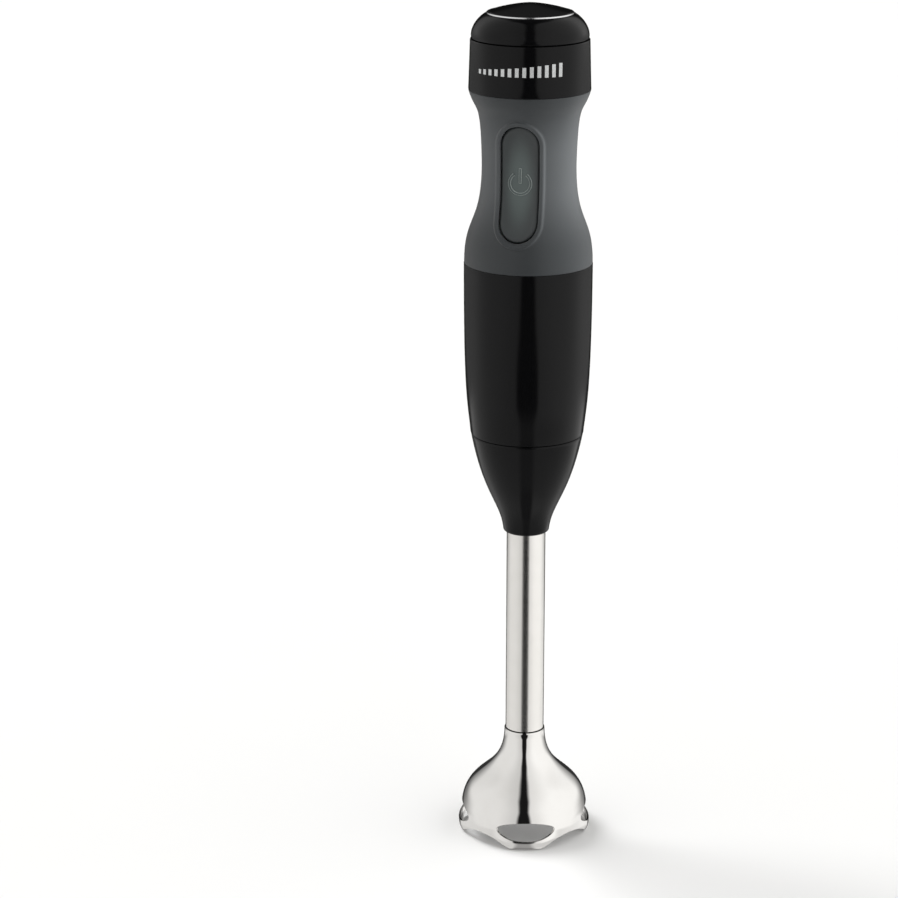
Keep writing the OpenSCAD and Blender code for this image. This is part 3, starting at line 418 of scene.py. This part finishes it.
# ---- Cord gland ----
# A moulded rubber bush that snaps into the back of the collar and grips the mains lead. It has
# a flat flange and a short ringed neck.
rubber, tree, shader, where = new_material("moulded_rubber", {"Specular IOR Level": 0.4})
bloom = add_node(tree, "ShaderNodeTexNoise", {"Scale": 1 / (4 * MM), "Detail": 5.0}, {"Vector": where}).outputs[0]
pores = add_node(tree, "ShaderNodeTexNoise", {"Scale": 1 / (0.25 * MM), "Detail": 2.0},
                 {"Vector": where}).outputs[0]
tone = add_node(tree, "ShaderNodeMix", {6: linear("#131314"), 7: linear("#202122")}, {0: bloom},
                data_type="RGBA").outputs[2]
blur = add_node(tree, "ShaderNodeMapRange", {1: 0.3, 2: 0.7, 3: 0.5, 4: 0.68}, {0: bloom}).outputs[0]
skin = add_node(tree, "ShaderNodeBump", {"Strength": 0.25, "Distance": 0.05 * MM}, {"Height": pores}).outputs[0]
feed(shader, tone, blur, skin)

flange, neck, bore = gland_r / MM, gland_r / MM - 2.2, 3.5
inside = (gland_low.y - seat_y) / MM
gland = turned("cord_bush",
    [(bore, inside), (neck + 1.2, inside), (neck + 1.2, inside + 1.8), (neck, inside + 1.8), (neck, 0),
     (flange, 0)]
    + arc((flange - 0.5, 1.1), 0.5, 0, 90, 4) + [(neck + 0.4, 1.6), (neck, 1.9), (neck, 2.1), (neck - 0.35, 2.25),
       (neck - 0.35, 2.55), (neck, 2.7), (neck, 3.0)] + arc((neck - 0.4, 3.0), 0.4, 0, 90, 4)
    + arc((bore + 0.35, 3.05), 0.35, 90, 180, 4), 96)
gland.data.transform(Matrix.Translation((0, seat_y, gland_z)) @ Matrix.Rotation(-pi / 2, 4, "X"))
fitted(gland, rubber, "motor_body", "seal_rubber", "cord_gland")

# ---- Grip sleeve ----
# A waisted sleeve of nylon with a soft-touch elastomer skin moulded over it. A rounded lip
# stands proud round the long opening for the button, and both ends are cut square.
soft, tree, shader, where = new_material(
    "soft_touch_elastomer", {"Specular IOR Level": 0.32, "Sheen Weight": 0.12, "Sheen Roughness": 0.45})
# spark-eroded grain is about 0.1 mm; drawn at 0.35 mm so that it shows
spark = add_node(tree, "ShaderNodeTexNoise", {"Scale": 1 / (0.35 * MM), "Detail": 2.0, "Roughness": 0.6},
                 {"Vector": where}).outputs[0]
hands = add_node(tree, "ShaderNodeTexNoise", {"Scale": 1 / (14 * MM), "Detail": 4.0}, {"Vector": where}).outputs[0]
# the two flared ends are painted darker than the waist: painted shade where they turn away from the light
waist_drop, waist_r = 34.4, 21.9             # the waist, below the top of the grip
z_waist = z_collar - waist_drop
height = add_node(tree, "ShaderNodeSeparateXYZ", {}, {"Vector": where}).outputs["Z"]
off_waist = add_node(tree, "ShaderNodeMath", {1: z_waist * MM}, {0: height}, operation="SUBTRACT").outputs[0]
off_waist = add_node(tree, "ShaderNodeMath", {}, {0: off_waist}, operation="ABSOLUTE").outputs[0]
# share of the lit waist tone, falling to the painted shade at the two ends
lit_waist_share = add_node(tree, "ShaderNodeMapRange", {1: 6 * MM, 2: 36 * MM, 3: 1.0, 4: 0.0}, {0: off_waist},
                interpolation_type="SMOOTHSTEP").outputs[0]
ends = add_node(tree, "ShaderNodeMix", {6: linear("#292C2E"), 7: linear("#303335")}, {0: hands},
                data_type="RGBA").outputs[2]
waist = add_node(tree, "ShaderNodeMix", {6: linear("#434648"), 7: linear("#4A4D4F")}, {0: hands},
                 data_type="RGBA").outputs[2]
tone = add_node(tree, "ShaderNodeMix", {}, {0: lit_waist_share, 6: ends, 7: waist}, data_type="RGBA").outputs[2]
blur = add_node(tree, "ShaderNodeMapRange", {1: 0.3, 2: 0.7, 3: 0.42, 4: 0.5}, {0: hands}).outputs[0]
skin = add_node(tree, "ShaderNodeBump", {"Strength": 0.16, "Distance": 0.06 * MM}, {"Height": spark}).outputs[0]
feed(shader, tone, blur, skin)

body_r, z_joint, z_grip = extent("motor_housing")
grip_curve = (curve((body_r - 0.1, z_grip), (waist_r, z_waist), (0, 0.475), (1, 0.376), 80)
              + curve((waist_r, z_waist), (collar_r, z_collar), (0.108, 0.917), (0.428, 0.655), 80)[1:])


def radius_at(profile, height):
    """Radius of a profile of (radius, height) points at a height."""
    if height <= profile[0][1]:
        return profile[0][0]
    for (r0, z0), (r1, z1) in zip(profile, profile[1:]):
        if height <= z1:
            return r0 + (r1 - r0) * (height - z0) / (z1 - z0) if z1 > z0 else r1
    return profile[-1][0]


button_low, button_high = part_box("power_button")
button_z = (button_low.z + button_high.z) / 2 / MM
flange_w = 1.7                 # hidden flange round the button
half_w = (button_high.x - button_low.x) / 2 / MM - flange_w      # of the button's face
half_straight = (button_high.z - button_low.z) / 2 / MM - flange_w - half_w
button_gap = 0.22
front_turn = 50                # the front panel reaches this far round each side
front_columns, side_rows = 40, 52
edge_r = 0.35                  # rounding of the two ends
z_low, z_high = z_grip + edge_r, z_collar - edge_r


def stadium(index, radius):
    """A point of the long opening's outline, offset to this half width, and its place on the panel's edge."""
    quarter_rows = side_rows / 2
    straight = half_straight / (half_straight + radians(45) * (half_w + 2)) * quarter_rows
    index = (index + front_columns / 2) % (2 * (front_columns + side_rows)) - front_columns / 2
    flip = 1
    if index > front_columns / 2 + side_rows:               # the lower half mirrors the upper
        index -= front_columns + side_rows
        flip = -1
    if index <= front_columns / 2:                          # over the end
        turn = 90 - 45 * index / (front_columns / 2)
        point = (radius * cos(radians(turn)), half_straight + radius * sin(radians(turn)))
        border = (front_turn * index / (front_columns / 2), z_high if flip > 0 else z_low)
    else:                                                   # down the side
        down = index - front_columns / 2
        way = down if down <= quarter_rows else side_rows - down
        if way <= quarter_rows - straight:
            turn = 45 * (1 - way / (quarter_rows - straight))
            point = (radius * cos(radians(turn)), half_straight + radius * sin(radians(turn)))
        else:
            point = (radius, half_straight * (quarter_rows - way) / straight)
        if down > quarter_rows:
            point = (point[0], -point[1])
        high, low = (z_high, z_low) if flip > 0 else (z_low, z_high)
        border = (front_turn, high + (low - high) * down / side_rows)
    return (point[0] * flip, button_z + point[1] * flip), (border[0] * flip, border[1])


# the lip, from the wall of the opening over its rounded crest and down to the sleeve
lip = [(0, -2.4), (0, -0.2), (0.02, 0.08), (0.1, 0.28), (0.26, 0.43), (0.5, 0.55), (0.8, 0.68),
       (1.1, 0.79), (1.4, 0.86), (1.65, 0.87), (1.85, 0.8), (2.02, 0.66), (2.15, 0.48), (2.27, 0.3),
       (2.4, 0.16), (2.58, 0.06), (2.85, 0)]
spread = 22                    # rows from the lip out to the edge of the panel


def front_panel(column, row):
    if row < len(lip):
        (x, z), _ = stadium(column, half_w + button_gap + lip[row][0])
        radius = radius_at(grip_curve, z) + lip[row][1]
        return x, -sqrt(radius * radius - x * x), z
    (x, z), (turn, border_z) = stadium(column, half_w + button_gap + lip[-1][0])
    share = ((row - len(lip) + 1) / spread) ** 1.25
    turn = radians(turn) * share + asin(x / radius_at(grip_curve, z)) * (1 - share)
    z = border_z * share + z * (1 - share)
    radius = radius_at(grip_curve, z)
    return radius * sin(turn), -radius * cos(turn), z


back_columns = 104


def round_back(column, row):
    turn = radians(front_turn + (360 - 2 * front_turn) * column / back_columns)
    z = z_low + (z_high - z_low) * row / side_rows
    radius = radius_at(grip_curve, z)
    return radius * sin(turn), -radius * cos(turn), z


def end_turn(column):
    if column <= front_columns:
        return radians(-front_turn + 2 * front_turn * column / front_columns)
    return radians(front_turn + (360 - 2 * front_turn) * (column - front_columns) / back_columns)


end_steps = [(0, edge_r)] + [(edge_r - edge_r * cos(radians(a)), edge_r - edge_r * sin(radians(a)))
                             for a in (22, 45, 68, 90)] + [(1.2, 0), (2.4, 0)]


def lower_end(column, row):
    inwards, up = end_steps[row]
    radius = radius_at(grip_curve, z_grip + up) - inwards
    return radius * sin(end_turn(column)), -radius * cos(end_turn(column)), z_grip + up


def upper_end(column, row):
    inwards, down = end_steps[row]
    radius = radius_at(grip_curve, z_collar - down) - inwards
    return radius * sin(end_turn(column)), -radius * cos(end_turn(column)), z_collar - down


around = front_columns + back_columns
grip = joined("grip_skin", [
    wrapped("front", 2 * (front_columns + side_rows), len(lip) - 1 + spread, front_panel),
    wrapped("back", back_columns, side_rows, round_back),
    wrapped("lower", around, len(end_steps) - 1, lower_end),
    wrapped("upper", around, len(end_steps) - 1, upper_end)], 1.0)
fitted(grip, soft, "motor_body", "soft_grip", "grip_sleeve")

# ---- Power button ----
# One long rocker of grey-green soft-touch plastic, pressed with the thumb or the fingers. Its
# face is dished and lies below the lip, and a raised power sign stands in its middle.
thumb_grey, tree, shader, where = new_material(
    "satin_grey_elastomer", {"Specular IOR Level": 0.5, "Roughness": 0.5})
spark = add_node(tree, "ShaderNodeTexNoise", {"Scale": 1 / (0.35 * MM), "Detail": 2.0},
                 {"Vector": where}).outputs[0]
# the grey-green face is painted darker towards its edges, as painted shade from the recess round it
middle = add_node(tree, "ShaderNodeMapping", {"Location": (0, 0, -button_z * MM)}, {"Vector": where},
                  vector_type="POINT").outputs[0]
middle = add_node(tree, "ShaderNodeVectorMath", {1: (1 / (9 * MM), 0, 1 / (27 * MM))}, {0: middle},
                  operation="MULTIPLY").outputs[0]
reach = add_node(tree, "ShaderNodeVectorMath", links={0: middle}, operation="LENGTH").outputs["Value"]
unshaded_middle = add_node(tree, "ShaderNodeMapRange", {1: 0.25, 2: 0.95, 3: 1.0, 4: 0.0}, {0: reach},
                  interpolation_type="SMOOTHSTEP").outputs[0]
# painted shade at the edges, the button's own grey-green in the middle
tone = add_node(tree, "ShaderNodeMix", {6: linear("#303435"), 7: linear("#4A5352")}, {0: unshaded_middle},
                data_type="RGBA").outputs[2]
skin = add_node(tree, "ShaderNodeBump", {"Strength": 0.14, "Distance": 0.06 * MM}, {"Height": spark}).outputs[0]
feed(shader, tone, None, skin)

recess, dish = 0.9, 0.8
# the rounded rim of the face: how far inwards, and how far under the face
rim = [(0, 3.6), (0, 1.2), (0.1, 0.8), (0.32, 0.42), (0.64, 0.15), (1.0, 0.03), (1.35, 0)]
face_rows = 14


def face_y(x, z, depth=0.0):
    """The button's face: nearly flat across, following the waist up and down."""
    radius = radius_at(grip_curve, z) - recess
    flat = sqrt(radius * radius - half_w * half_w)
    bowed = sqrt(radius * radius - x * x)
    return -(flat * 0.7 + bowed * 0.3) + depth


def button_top(column, row):
    if row < len(rim):
        (x, z), _ = stadium(column, half_w - rim[row][0])
        return x, face_y(x, z, rim[row][1]), z
    share = (row - len(rim) + 1) / face_rows
    (x, z), _ = stadium(column, (half_w - rim[-1][0]) * (1 - share))
    return x, face_y(x, z, dish * (1 - (1 - share) ** 2)), z


button = joined("thumb_button", [
    wrapped("face", 2 * (front_columns + side_rows), len(rim) - 1 + face_rows, button_top)], 1.2)
fitted(button, thumb_grey, "power_button", "button_grey", "power_button")

# The raised sign: a broken ring and a bar, with a painted highlight on its sloped edges.
edge_highlight, tree, shader, where = new_material("painted_highlight_elastomer", {"Roughness": 0.4})
highlight_speckle = add_node(tree, "ShaderNodeTexNoise", {"Scale": 1 / (0.8 * MM), "Detail": 2.0}, {"Vector": where}).outputs[0]
tone = add_node(tree, "ShaderNodeMix", {6: linear("#6C7573"), 7: linear("#A3ABA9")}, {0: highlight_speckle},
                data_type="RGBA").outputs[2]
feed(shader, tone)

sign_in, sign_out, sign_h, sign_edge = 4.3, 5.6, 0.32, 0.22
sign_gap = radians(35)           # half of the gap at the top of the ring
sign = turned("power_sign", [(sign_in, -0.3), (sign_in, 0.08), (sign_in + sign_edge, sign_h),
                             (sign_out - sign_edge, sign_h), (sign_out, 0.08), (sign_out, -0.3)])
for face in sign.data.polygons:
    face.select = abs(atan2(face.center.x, face.center.y)) < sign_gap
for part in (sign.data.edges, sign.data.vertices):
    for item in part:
        item.select = False
bpy.ops.object.mode_set(mode="EDIT")
bpy.ops.mesh.select_mode(type="FACE")
bpy.ops.mesh.delete(type="FACE")
bpy.ops.mesh.select_all(action="SELECT")
bpy.ops.mesh.fill_holes(sides=8)
bpy.ops.object.mode_set(mode="OBJECT")
bpy.ops.object.select_all(action="DESELECT")
bpy.ops.mesh.primitive_cube_add(size=1, location=(0, 3.45 * MM, 0), scale=(1.3 * MM, 7.1 * MM, 2 * sign_h * MM))
bpy.ops.object.transform_apply(location=True, rotation=True, scale=True)
bar = bpy.context.object
soften = bar.modifiers.new("edge", "BEVEL")
soften.width = 0.2 * MM
bpy.ops.object.modifier_apply(modifier=soften.name)
sign.select_set(True)
bpy.context.view_layer.objects.active = sign
bpy.ops.object.join()
sign.data.materials.append(thumb_grey)
sign.data.materials.append(edge_highlight)
# the sloped edge faces take the lighter material, a painted highlight
for face in sign.data.polygons:
    face.material_index = 1 if 0.2 < face.normal.z < 0.95 else 0
for vertex in sign.data.vertices:          # lay it on the dished face
    x, up, height = vertex.co / MM
    share = abs(x) / (half_w - rim[-1][0])
    y = face_y(x, button_z + up, dish * (1 - share ** 2))
    vertex.co = Vector((x, y - height, button_z + up)) * MM
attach(sign, "power_button")

# a fill lamp to the right of the grip, which lights only the soft pieces
lamp = bpy.data.lights.new("grip_fill_lamp", "SUN")
lamp.angle, lamp.energy = radians(50), 5.5
fill = bpy.data.objects.new("grip_fill_lamp", lamp)
fill_from = Matrix.Rotation(camera_turn, 3, "Z") @ Vector((1.0, 0.15, 0.25))
fill.rotation_euler = (-fill_from).to_track_quat("-Z", "Y").to_euler()
fill.visible_glossy = fill.visible_camera = False
scene.collection.objects.link(fill)
on_grip = bpy.data.collections.new("lit_by_grip_fill_lamp")
for piece in (grip, button, sign):
    on_grip.objects.link(piece)
fill.light_linking.receiver_collection = on_grip

# ---- Motor housing ----
# A gloss black ABS barrel that carries the motor. It opens below into the mouth that the arm
# locks into, and its upper edge meets the grip in a fine groove.
joint_r = extent("arm_adapter")[0] + 0.1
z_bulkhead = extent("bulkhead")[2] - 2.5
mouth_r, ring_bore, wall = 23, 24.6, 2.2
housing_curve = curve((joint_r + 0.2, z_joint + 0.4), (body_r, z_grip - 0.35), (0.482, 0.189), (1, 0.231), 60)
lining = [(r - wall, z) for r, z in reversed(housing_curve) if z > z_bulkhead + 1]
housing = turned("housing_shell", [(mouth_r + 0.25, z_joint)]
    + arc((joint_r - 0.2, z_joint + 0.4), 0.4, -90, -10, 4) + housing_curve
    + arc((body_r - 0.35, z_grip - 0.35), 0.35, 15, 90, 4)
    + [(body_r - wall, z_grip)] + lining + [(lining[-1][0], z_bulkhead), (ring_bore, z_bulkhead),
       (ring_bore, z_joint + 1.2), (mouth_r, z_joint + 1.2), (mouth_r, z_joint + 0.25)])
fitted(housing, gloss_black, "motor_body", "gloss_black", "motor_housing")

# ---- Arm adapter ----
# The gloss black moulding at the head of the arm. It swells from a snug foot round the steel
# tube up to the width of the housing, and twists off with the arm.
tube_r = extent("arm_tube")[0]
_, z_adapter, adapter_top = extent("arm_adapter")
z_shelf = z_joint - 13
foot_r = tube_r + 1.7
adapter = turned("adapter_shell", [(tube_r, z_adapter), (tube_r + 0.25, z_adapter)]
    + arc((foot_r - 1.4, z_adapter + 1.4), 1.4, -90, -6, 8)
    + curve((foot_r, z_adapter + 1.5), (joint_r - 0.1, adapter_top - 0.4), (0.118, 0.279), (0.635, 0.37), 60)
    + arc((joint_r - 0.5, adapter_top - 0.4), 0.4, 15, 90, 4)
    + [(20.45, adapter_top), (20.45, z_shelf), (tube_r, z_shelf)])
fitted(adapter, gloss_black, "blending_arm", "gloss_black", "arm_adapter")

# ---- Arm tube ----
# A drawn stainless steel tube, satin polished on a belt. The polishing runs round it, so it
# shows faint rings and softens every reflection a little.
satin, tree, shader, where = new_material("satin_stainless", {"Metallic": 1.0})
# belt marks are about 0.05 mm apart; drawn at 0.25 mm so that they show
rings = add_node(tree, "ShaderNodeMapping", {"Scale": (0.02, 0.02, 1)}, {"Vector": where}).outputs[0]
belt = add_node(tree, "ShaderNodeTexNoise", {"Scale": 1 / (0.25 * MM), "Detail": 3.0, "Roughness": 0.6},
                {"Vector": rings}).outputs[0]
cloud = add_node(tree, "ShaderNodeTexNoise", {"Scale": 1 / (9 * MM), "Detail": 3.0}, {"Vector": where}).outputs[0]
tone = add_node(tree, "ShaderNodeMix", {6: linear("#D5D3CF"), 7: linear("#DFDDDA")}, {0: cloud},
                data_type="RGBA").outputs[2]
blur = add_node(tree, "ShaderNodeMapRange", {1: 0.3, 2: 0.7, 3: 0.17, 4: 0.22}, {0: belt}).outputs[0]
skin = add_node(tree, "ShaderNodeBump", {"Strength": 0.05, "Distance": 0.02 * MM}, {"Height": belt}).outputs[0]
feed(shader, tone, blur, skin)

_, tube_low, tube_high = extent("arm_tube")
tube_wall, tube_edge = 0.9, 0.3
tube = turned("steel_tube", [(tube_r - tube_wall, tube_low), (tube_r - tube_edge, tube_low),
                             (tube_r, tube_low + tube_edge), (tube_r, tube_high - tube_edge),
                             (tube_r - tube_edge, tube_high), (tube_r - tube_wall, tube_high)])
fitted(tube, satin, "blending_arm", "stainless", "arm_tube")

# ---- Bell ----
# Deep-drawn from 1.1 mm stainless steel and mirror polished. Four feet swell out of the dome,
# each with a window punched through it, and the rim rises in an arch between them.
mirror, tree, shader, where = new_material("polished_stainless", {"Metallic": 1.0})
rings = add_node(tree, "ShaderNodeMapping", {"Scale": (0.03, 0.03, 1)}, {"Vector": where}).outputs[0]
buff = add_node(tree, "ShaderNodeTexNoise", {"Scale": 1 / (0.5 * MM), "Detail": 3.0}, {"Vector": rings}).outputs[0]
cloud = add_node(tree, "ShaderNodeTexNoise", {"Scale": 1 / (12 * MM), "Detail": 3.0}, {"Vector": where}).outputs[0]
tone = add_node(tree, "ShaderNodeMix", {6: linear("#D5D3D0"), 7: linear("#DEDDDB")}, {0: cloud},
                data_type="RGBA").outputs[2]
blur = add_node(tree, "ShaderNodeMapRange", {1: 0.3, 2: 0.7, 3: 0.03, 4: 0.06}, {0: buff}).outputs[0]
skin = add_node(tree, "ShaderNodeBump", {"Strength": 0.02, "Distance": 0.02 * MM}, {"Height": buff}).outputs[0]
# polishing paste stays behind as a dark line where the bell is rolled on to the tube
_, _, bell_top = extent("bell")
height = add_node(tree, "ShaderNodeSeparateXYZ", {}, {"Vector": where}).outputs["Z"]
off_seam = add_node(tree, "ShaderNodeMath", {1: (bell_top - 0.1) * MM}, {0: height},
                    operation="SUBTRACT").outputs[0]
off_seam = add_node(tree, "ShaderNodeMath", {}, {0: off_seam}, operation="ABSOLUTE").outputs[0]
paste = add_node(tree, "ShaderNodeMapRange", {1: 0.35 * MM, 2: 0.6 * MM, 3: 1.0, 4: 0.0}, {0: off_seam}).outputs[0]
tone = add_node(tree, "ShaderNodeMix", {7: linear("#2E2C2A")}, {0: paste, 6: tone}, data_type="RGBA").outputs[2]
feed(shader, tone, blur, skin)

bell_r, foot_out, bell_full, neck_r = 30.8, 1.9, 9.2, tube_r + 0.5
bell_turn = radians(14)
window_w, window_h, window_z = 28.4, 9, 4.7
window_power, window_sag, window_bow = 2.5, 0.8, 1.4      # how square it is, and how curved
rim_rise, rim_round, foot_half = 5.4, 1.6, radians(15)
dome_curve = ([(bell_r - 0.7, 0), (bell_r - 0.2, 4.5)]
              + curve((bell_r, bell_full), (neck_r, bell_top - 0.6), (0, 0.555), (1, 0.403), 60)
              + [(neck_r - 0.08, bell_top - 0.3), (neck_r - 0.3, bell_top)])
foot_curve = curve((bell_r - 0.3, 0), (bell_r - 1.4, bell_full + 6), (-foot_out, 0.05),
                   (-1.27 * foot_out, 0.43), 40)


def swell(turn):
    """How far a foot stands out, as a share, at this angle from its middle."""
    t = min(max((abs(turn) - radians(11)) / radians(22), 0), 1)
    return 1 - t * t * (3 - 2 * t)


def bell_radius(turn, z):
    dome = radius_at(dome_curve, z)
    foot_end_r, foot_end_z = foot_curve[-1]
    over = (radius_at(foot_curve, z) if z < foot_end_z else foot_end_r - (z - foot_end_z)) - dome
    over = (over + sqrt(over * over + 0.16)) / 2 - 0.02
    return dome + swell(turn) * max(over, 0)


def rim_z(turn):
    """Height of the rim: on the floor under a foot, and arched between two feet."""
    reach = bell_r * sin(pi / 4 - foot_half)
    radius = (reach ** 2 + rim_rise ** 2) / (2 * rim_rise)
    off = bell_r * sin(pi / 4 - abs(turn))
    rise = rim_rise - radius + sqrt(max(radius * radius - off * off, 0))
    return (rise + sqrt(rise * rise + rim_round ** 2)) / 2


top_columns, side_steps, quarter_z = 44, 12, 20.5      # the patch round one window
loop = 2 * (top_columns + side_steps)


def window_point(index):
    """A point on the window's edge: a long slot, nearly flat above and bowed below."""
    angle = 2 * pi * index / loop
    x = window_w / 2 * abs(cos(angle)) ** (2 / window_power) * (1 if cos(angle) > 0 else -1)
    z = window_h / 2 * abs(sin(angle)) ** (2 / window_power) * (1 if sin(angle) > 0 else -1)
    share = (z + window_h / 2) / window_h
    drop = share * window_sag - (1 - share) * window_bow
    return x, window_z + window_h / 2 + z - drop * (2 * x / window_w) ** 2


def border_point(index):
    """The matching point on the edge of the patch: angle from the foot's middle, and height."""
    index = (index + side_steps // 2) % loop                # starts half way up the right side
    if index < side_steps:
        low = rim_z(pi / 4)
        return pi / 4, low + (quarter_z - low) * index / side_steps
    if index < side_steps + top_columns:
        return pi / 4 - pi / 2 * (index - side_steps) / top_columns, quarter_z
    if index < 2 * side_steps + top_columns:
        low = rim_z(pi / 4)
        return -pi / 4, quarter_z + (low - quarter_z) * (index - side_steps - top_columns) / side_steps
    turn = -pi / 4 + pi / 2 * (index - 2 * side_steps - top_columns) / top_columns
    return turn, rim_z(turn)


patch_rows, dome_rows = 16, 46
quarters = []
for k in range(4):
    facing = -pi / 2 + bell_turn + pi / 2 * k

    def round_window(column, row):
        x, z = window_point(column)
        turn, border_z = border_point(column)
        share = row / patch_rows
        turn = turn * share + asin(x / bell_radius(0, z)) * (1 - share)
        z = border_z * share + z * (1 - share)
        radius = bell_radius(turn, z)
        return radius * cos(facing + turn), radius * sin(facing + turn), z

    def over_window(column, row):
        turn = -pi / 4 + pi / 2 * column / top_columns
        z = quarter_z + (bell_top - quarter_z) * row / dome_rows
        radius = bell_radius(turn, z)
        return radius * cos(facing + turn), radius * sin(facing + turn), z

    quarters += [wrapped("window", loop, patch_rows, round_window),
                 wrapped("dome", top_columns, dome_rows, over_window)]
bell = joined("steel_bell", quarters, 1.1)
soften = bell.modifiers.new("edge", "BEVEL")
soften.width, soften.segments, soften.limit_method, soften.angle_limit = 0.3 * MM, 2, "ANGLE", radians(50)
bpy.context.view_layer.objects.active = bell
bpy.ops.object.modifier_apply(modifier=soften.name)
bpy.ops.object.shade_smooth_by_angle(angle=radians(50))
fitted(bell, mirror, "blending_arm", "stainless", "bell")

# the light that the polished inside of the bell throws down on the table
lamp = bpy.data.lights.new("under_bell_glow", "AREA")
lamp.shape, lamp.size, lamp.energy = "DISK", 0.052, 0.0006
glow = bpy.data.objects.new("under_bell_glow", lamp)
glow.location = (0, 0, 0.003)
glow.visible_glossy = glow.visible_camera = False
scene.collection.objects.link(glow)
glow.light_linking.receiver_collection = on_table

# ---- Blade ----
# Stamped from 1.4 mm knife steel. One wing bends up and the other down, and each leading edge
# is ground to a bevel.
blade_steel, tree, shader, where = new_material("ground_knife_steel", {"Metallic": 1.0})
lines = add_node(tree, "ShaderNodeMapping", {"Scale": (0.06, 1, 1)}, {"Vector": where}).outputs[0]
grit = add_node(tree, "ShaderNodeTexNoise", {"Scale": 1 / (0.3 * MM), "Detail": 3.0}, {"Vector": lines}).outputs[0]
tone = add_node(tree, "ShaderNodeMix", {6: linear("#B9BABB"), 7: linear("#CFD0D1")}, {0: grit},
                data_type="RGBA").outputs[2]
blur = add_node(tree, "ShaderNodeMapRange", {1: 0.3, 2: 0.7, 3: 0.2, 4: 0.32}, {0: grit}).outputs[0]
feed(shader, tone, blur)

blade_low, blade_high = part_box("blade")
blade_r = max(blade_high.x, -blade_low.x) / MM
blade_z, blade_t = extent("blade_hub")[2] - 5.4, 1.4
bend_at = 0.62 * blade_r
chord = [(-5.5, 0.0), (-5.5, 0.15), (-3.6, 0.7), (-1.6, 1.0), (0.8, 1.0), (3.0, 1.0), (3.0, 0.0), (0.8, 0.0)]
wings = []
for side, tilt in ((1, radians(28)), (-1, radians(-20))):

    def wing(column, row):
        y, thick = chord[column % len(chord)]
        out = blade_r * 0.96 * row / 24
        past = max(out - bend_at, 0)
        taper = 1 - 0.22 * max(out / blade_r - 0.75, 0) / 0.25
        lift = sin(tilt) * past
        return side * (min(out, bend_at) + cos(tilt) * past), side * y * taper, blade_z + thick * blade_t + lift

    wings.append(wrapped("wing", len(chord), 24, wing))
blade = joined("cutting_blade", wings)
bpy.ops.object.mode_set(mode="EDIT")
bpy.ops.mesh.select_all(action="SELECT")
bpy.ops.mesh.fill_holes(sides=0)
bpy.ops.mesh.normals_make_consistent(inside=False)
bpy.ops.object.mode_set(mode="OBJECT")
fitted(blade, blade_steel, "blade_shaft", "blade_steel", "blade")

# ---- Inner pieces ----
# The rest keep their CAD shapes. Each finish is a real one: its two tones, how metallic and
# how rough it is, the size of its grain in millimetres, and how deep the grain is.
finishes = {
    "black_nylon": ("#17181A", "#232527", 0, 0.55, 0.4, 0.2),        # glass-filled, moulded
    "natural_nylon": ("#C9C4B2", "#DAD6C8", 0, 0.45, 1.0, 0.1),      # unfilled, moulded
    "seal_rubber": ("#141415", "#202122", 0, 0.62, 0.3, 0.2),        # moulded nitrile
    "zinc_steel": ("#9C9FA3", "#B9BCC0", 1, 0.34, 1.2, 0.1),         # bright zinc plate
    "ground_steel": ("#B4B5B6", "#CACBCC", 1, 0.2, 0.4, 0.05),       # centreless ground
    "spring_steel": ("#8F9194", "#A9ABAE", 1, 0.3, 0.6, 0.05),       # drawn wire and strip
    "board_green": ("#12522A", "#1C6B39", 0, 0.3, 2.0, 0.05),        # solder mask on glass epoxy
    "film_yellow": ("#C99A1C", "#DDB037", 0, 0.35, 1.5, 0.05),       # boxed film capacitor
    "sink_aluminium": ("#B5B7BA", "#C9CBCE", 1, 0.38, 0.8, 0.1),     # extruded
    "copper_enamel": ("#8A4A1E", "#A8622C", 1, 0.3, 0.5, 0.3),       # enamelled windings
    "lead_insulation": ("#7A1512", "#93201B", 0, 0.42, 1.0, 0.1),    # PVC
    "terminal_blue": ("#1C4E8C", "#2861A6", 0, 0.4, 1.0, 0.05),      # moulded polyamide
    "core_steel": ("#56585B", "#6B6E71", 1, 0.45, 0.5, 0.3),         # stacked laminations
    "bronze": ("#8F6A3A", "#AA8450", 1, 0.42, 0.3, 0.2),             # sintered, oil-filled
    "brass": ("#B48B3C", "#C9A253", 1, 0.3, 0.8, 0.1),               # pressed strip
    "carbon": ("#131314", "#1E1E20", 0, 0.7, 0.25, 0.3),             # pressed graphite
    "cast_aluminium": ("#8D8F92", "#A4A6A9", 1, 0.5, 0.6, 0.3),      # pressure die cast
    "switch_red": ("#A31D14", "#BD2A1F", 0, 0.35, 1.0, 0.05),        # moulded acetal
}
slot_of = {part["node"]: part["material_slot"] for part in frame["record"]["subparts"]}
inner = {}
for slot, (low_tone, high_tone, metal, rough, grain_mm, deep) in finishes.items():
    material, tree, shader, where = new_material(slot, {"Metallic": metal})
    grain = add_node(tree, "ShaderNodeTexNoise", {"Scale": 1 / (grain_mm * MM), "Detail": 3.0},
                     {"Vector": where}).outputs[0]
    patch = add_node(tree, "ShaderNodeTexNoise", {"Scale": 1 / (6 * MM), "Detail": 3.0},
                     {"Vector": where}).outputs[0]
    tone = add_node(tree, "ShaderNodeMix", {6: linear(low_tone), 7: linear(high_tone)}, {0: patch},
                    data_type="RGBA").outputs[2]
    blur = add_node(tree, "ShaderNodeMapRange", {1: 0.3, 2: 0.7, 3: rough - 0.05, 4: rough + 0.07},
                    {0: grain}).outputs[0]
    skin = add_node(tree, "ShaderNodeBump", {"Strength": deep, "Distance": 0.05 * MM},
                    {"Height": grain}).outputs[0]
    feed(shader, tone, blur, skin)
    inner[slot] = material
inner["blade_steel"] = blade_steel
inner["stainless"] = satin
inner["bright_trim"] = chrome
inner["gloss_black"] = gloss_black
inner["soft_grip"] = soft
inner["button_grey"] = thumb_grey
for node, part in frame["nodes"].items():
    part.data.materials.clear()
    part.data.materials.append(inner[slot_of[node]])
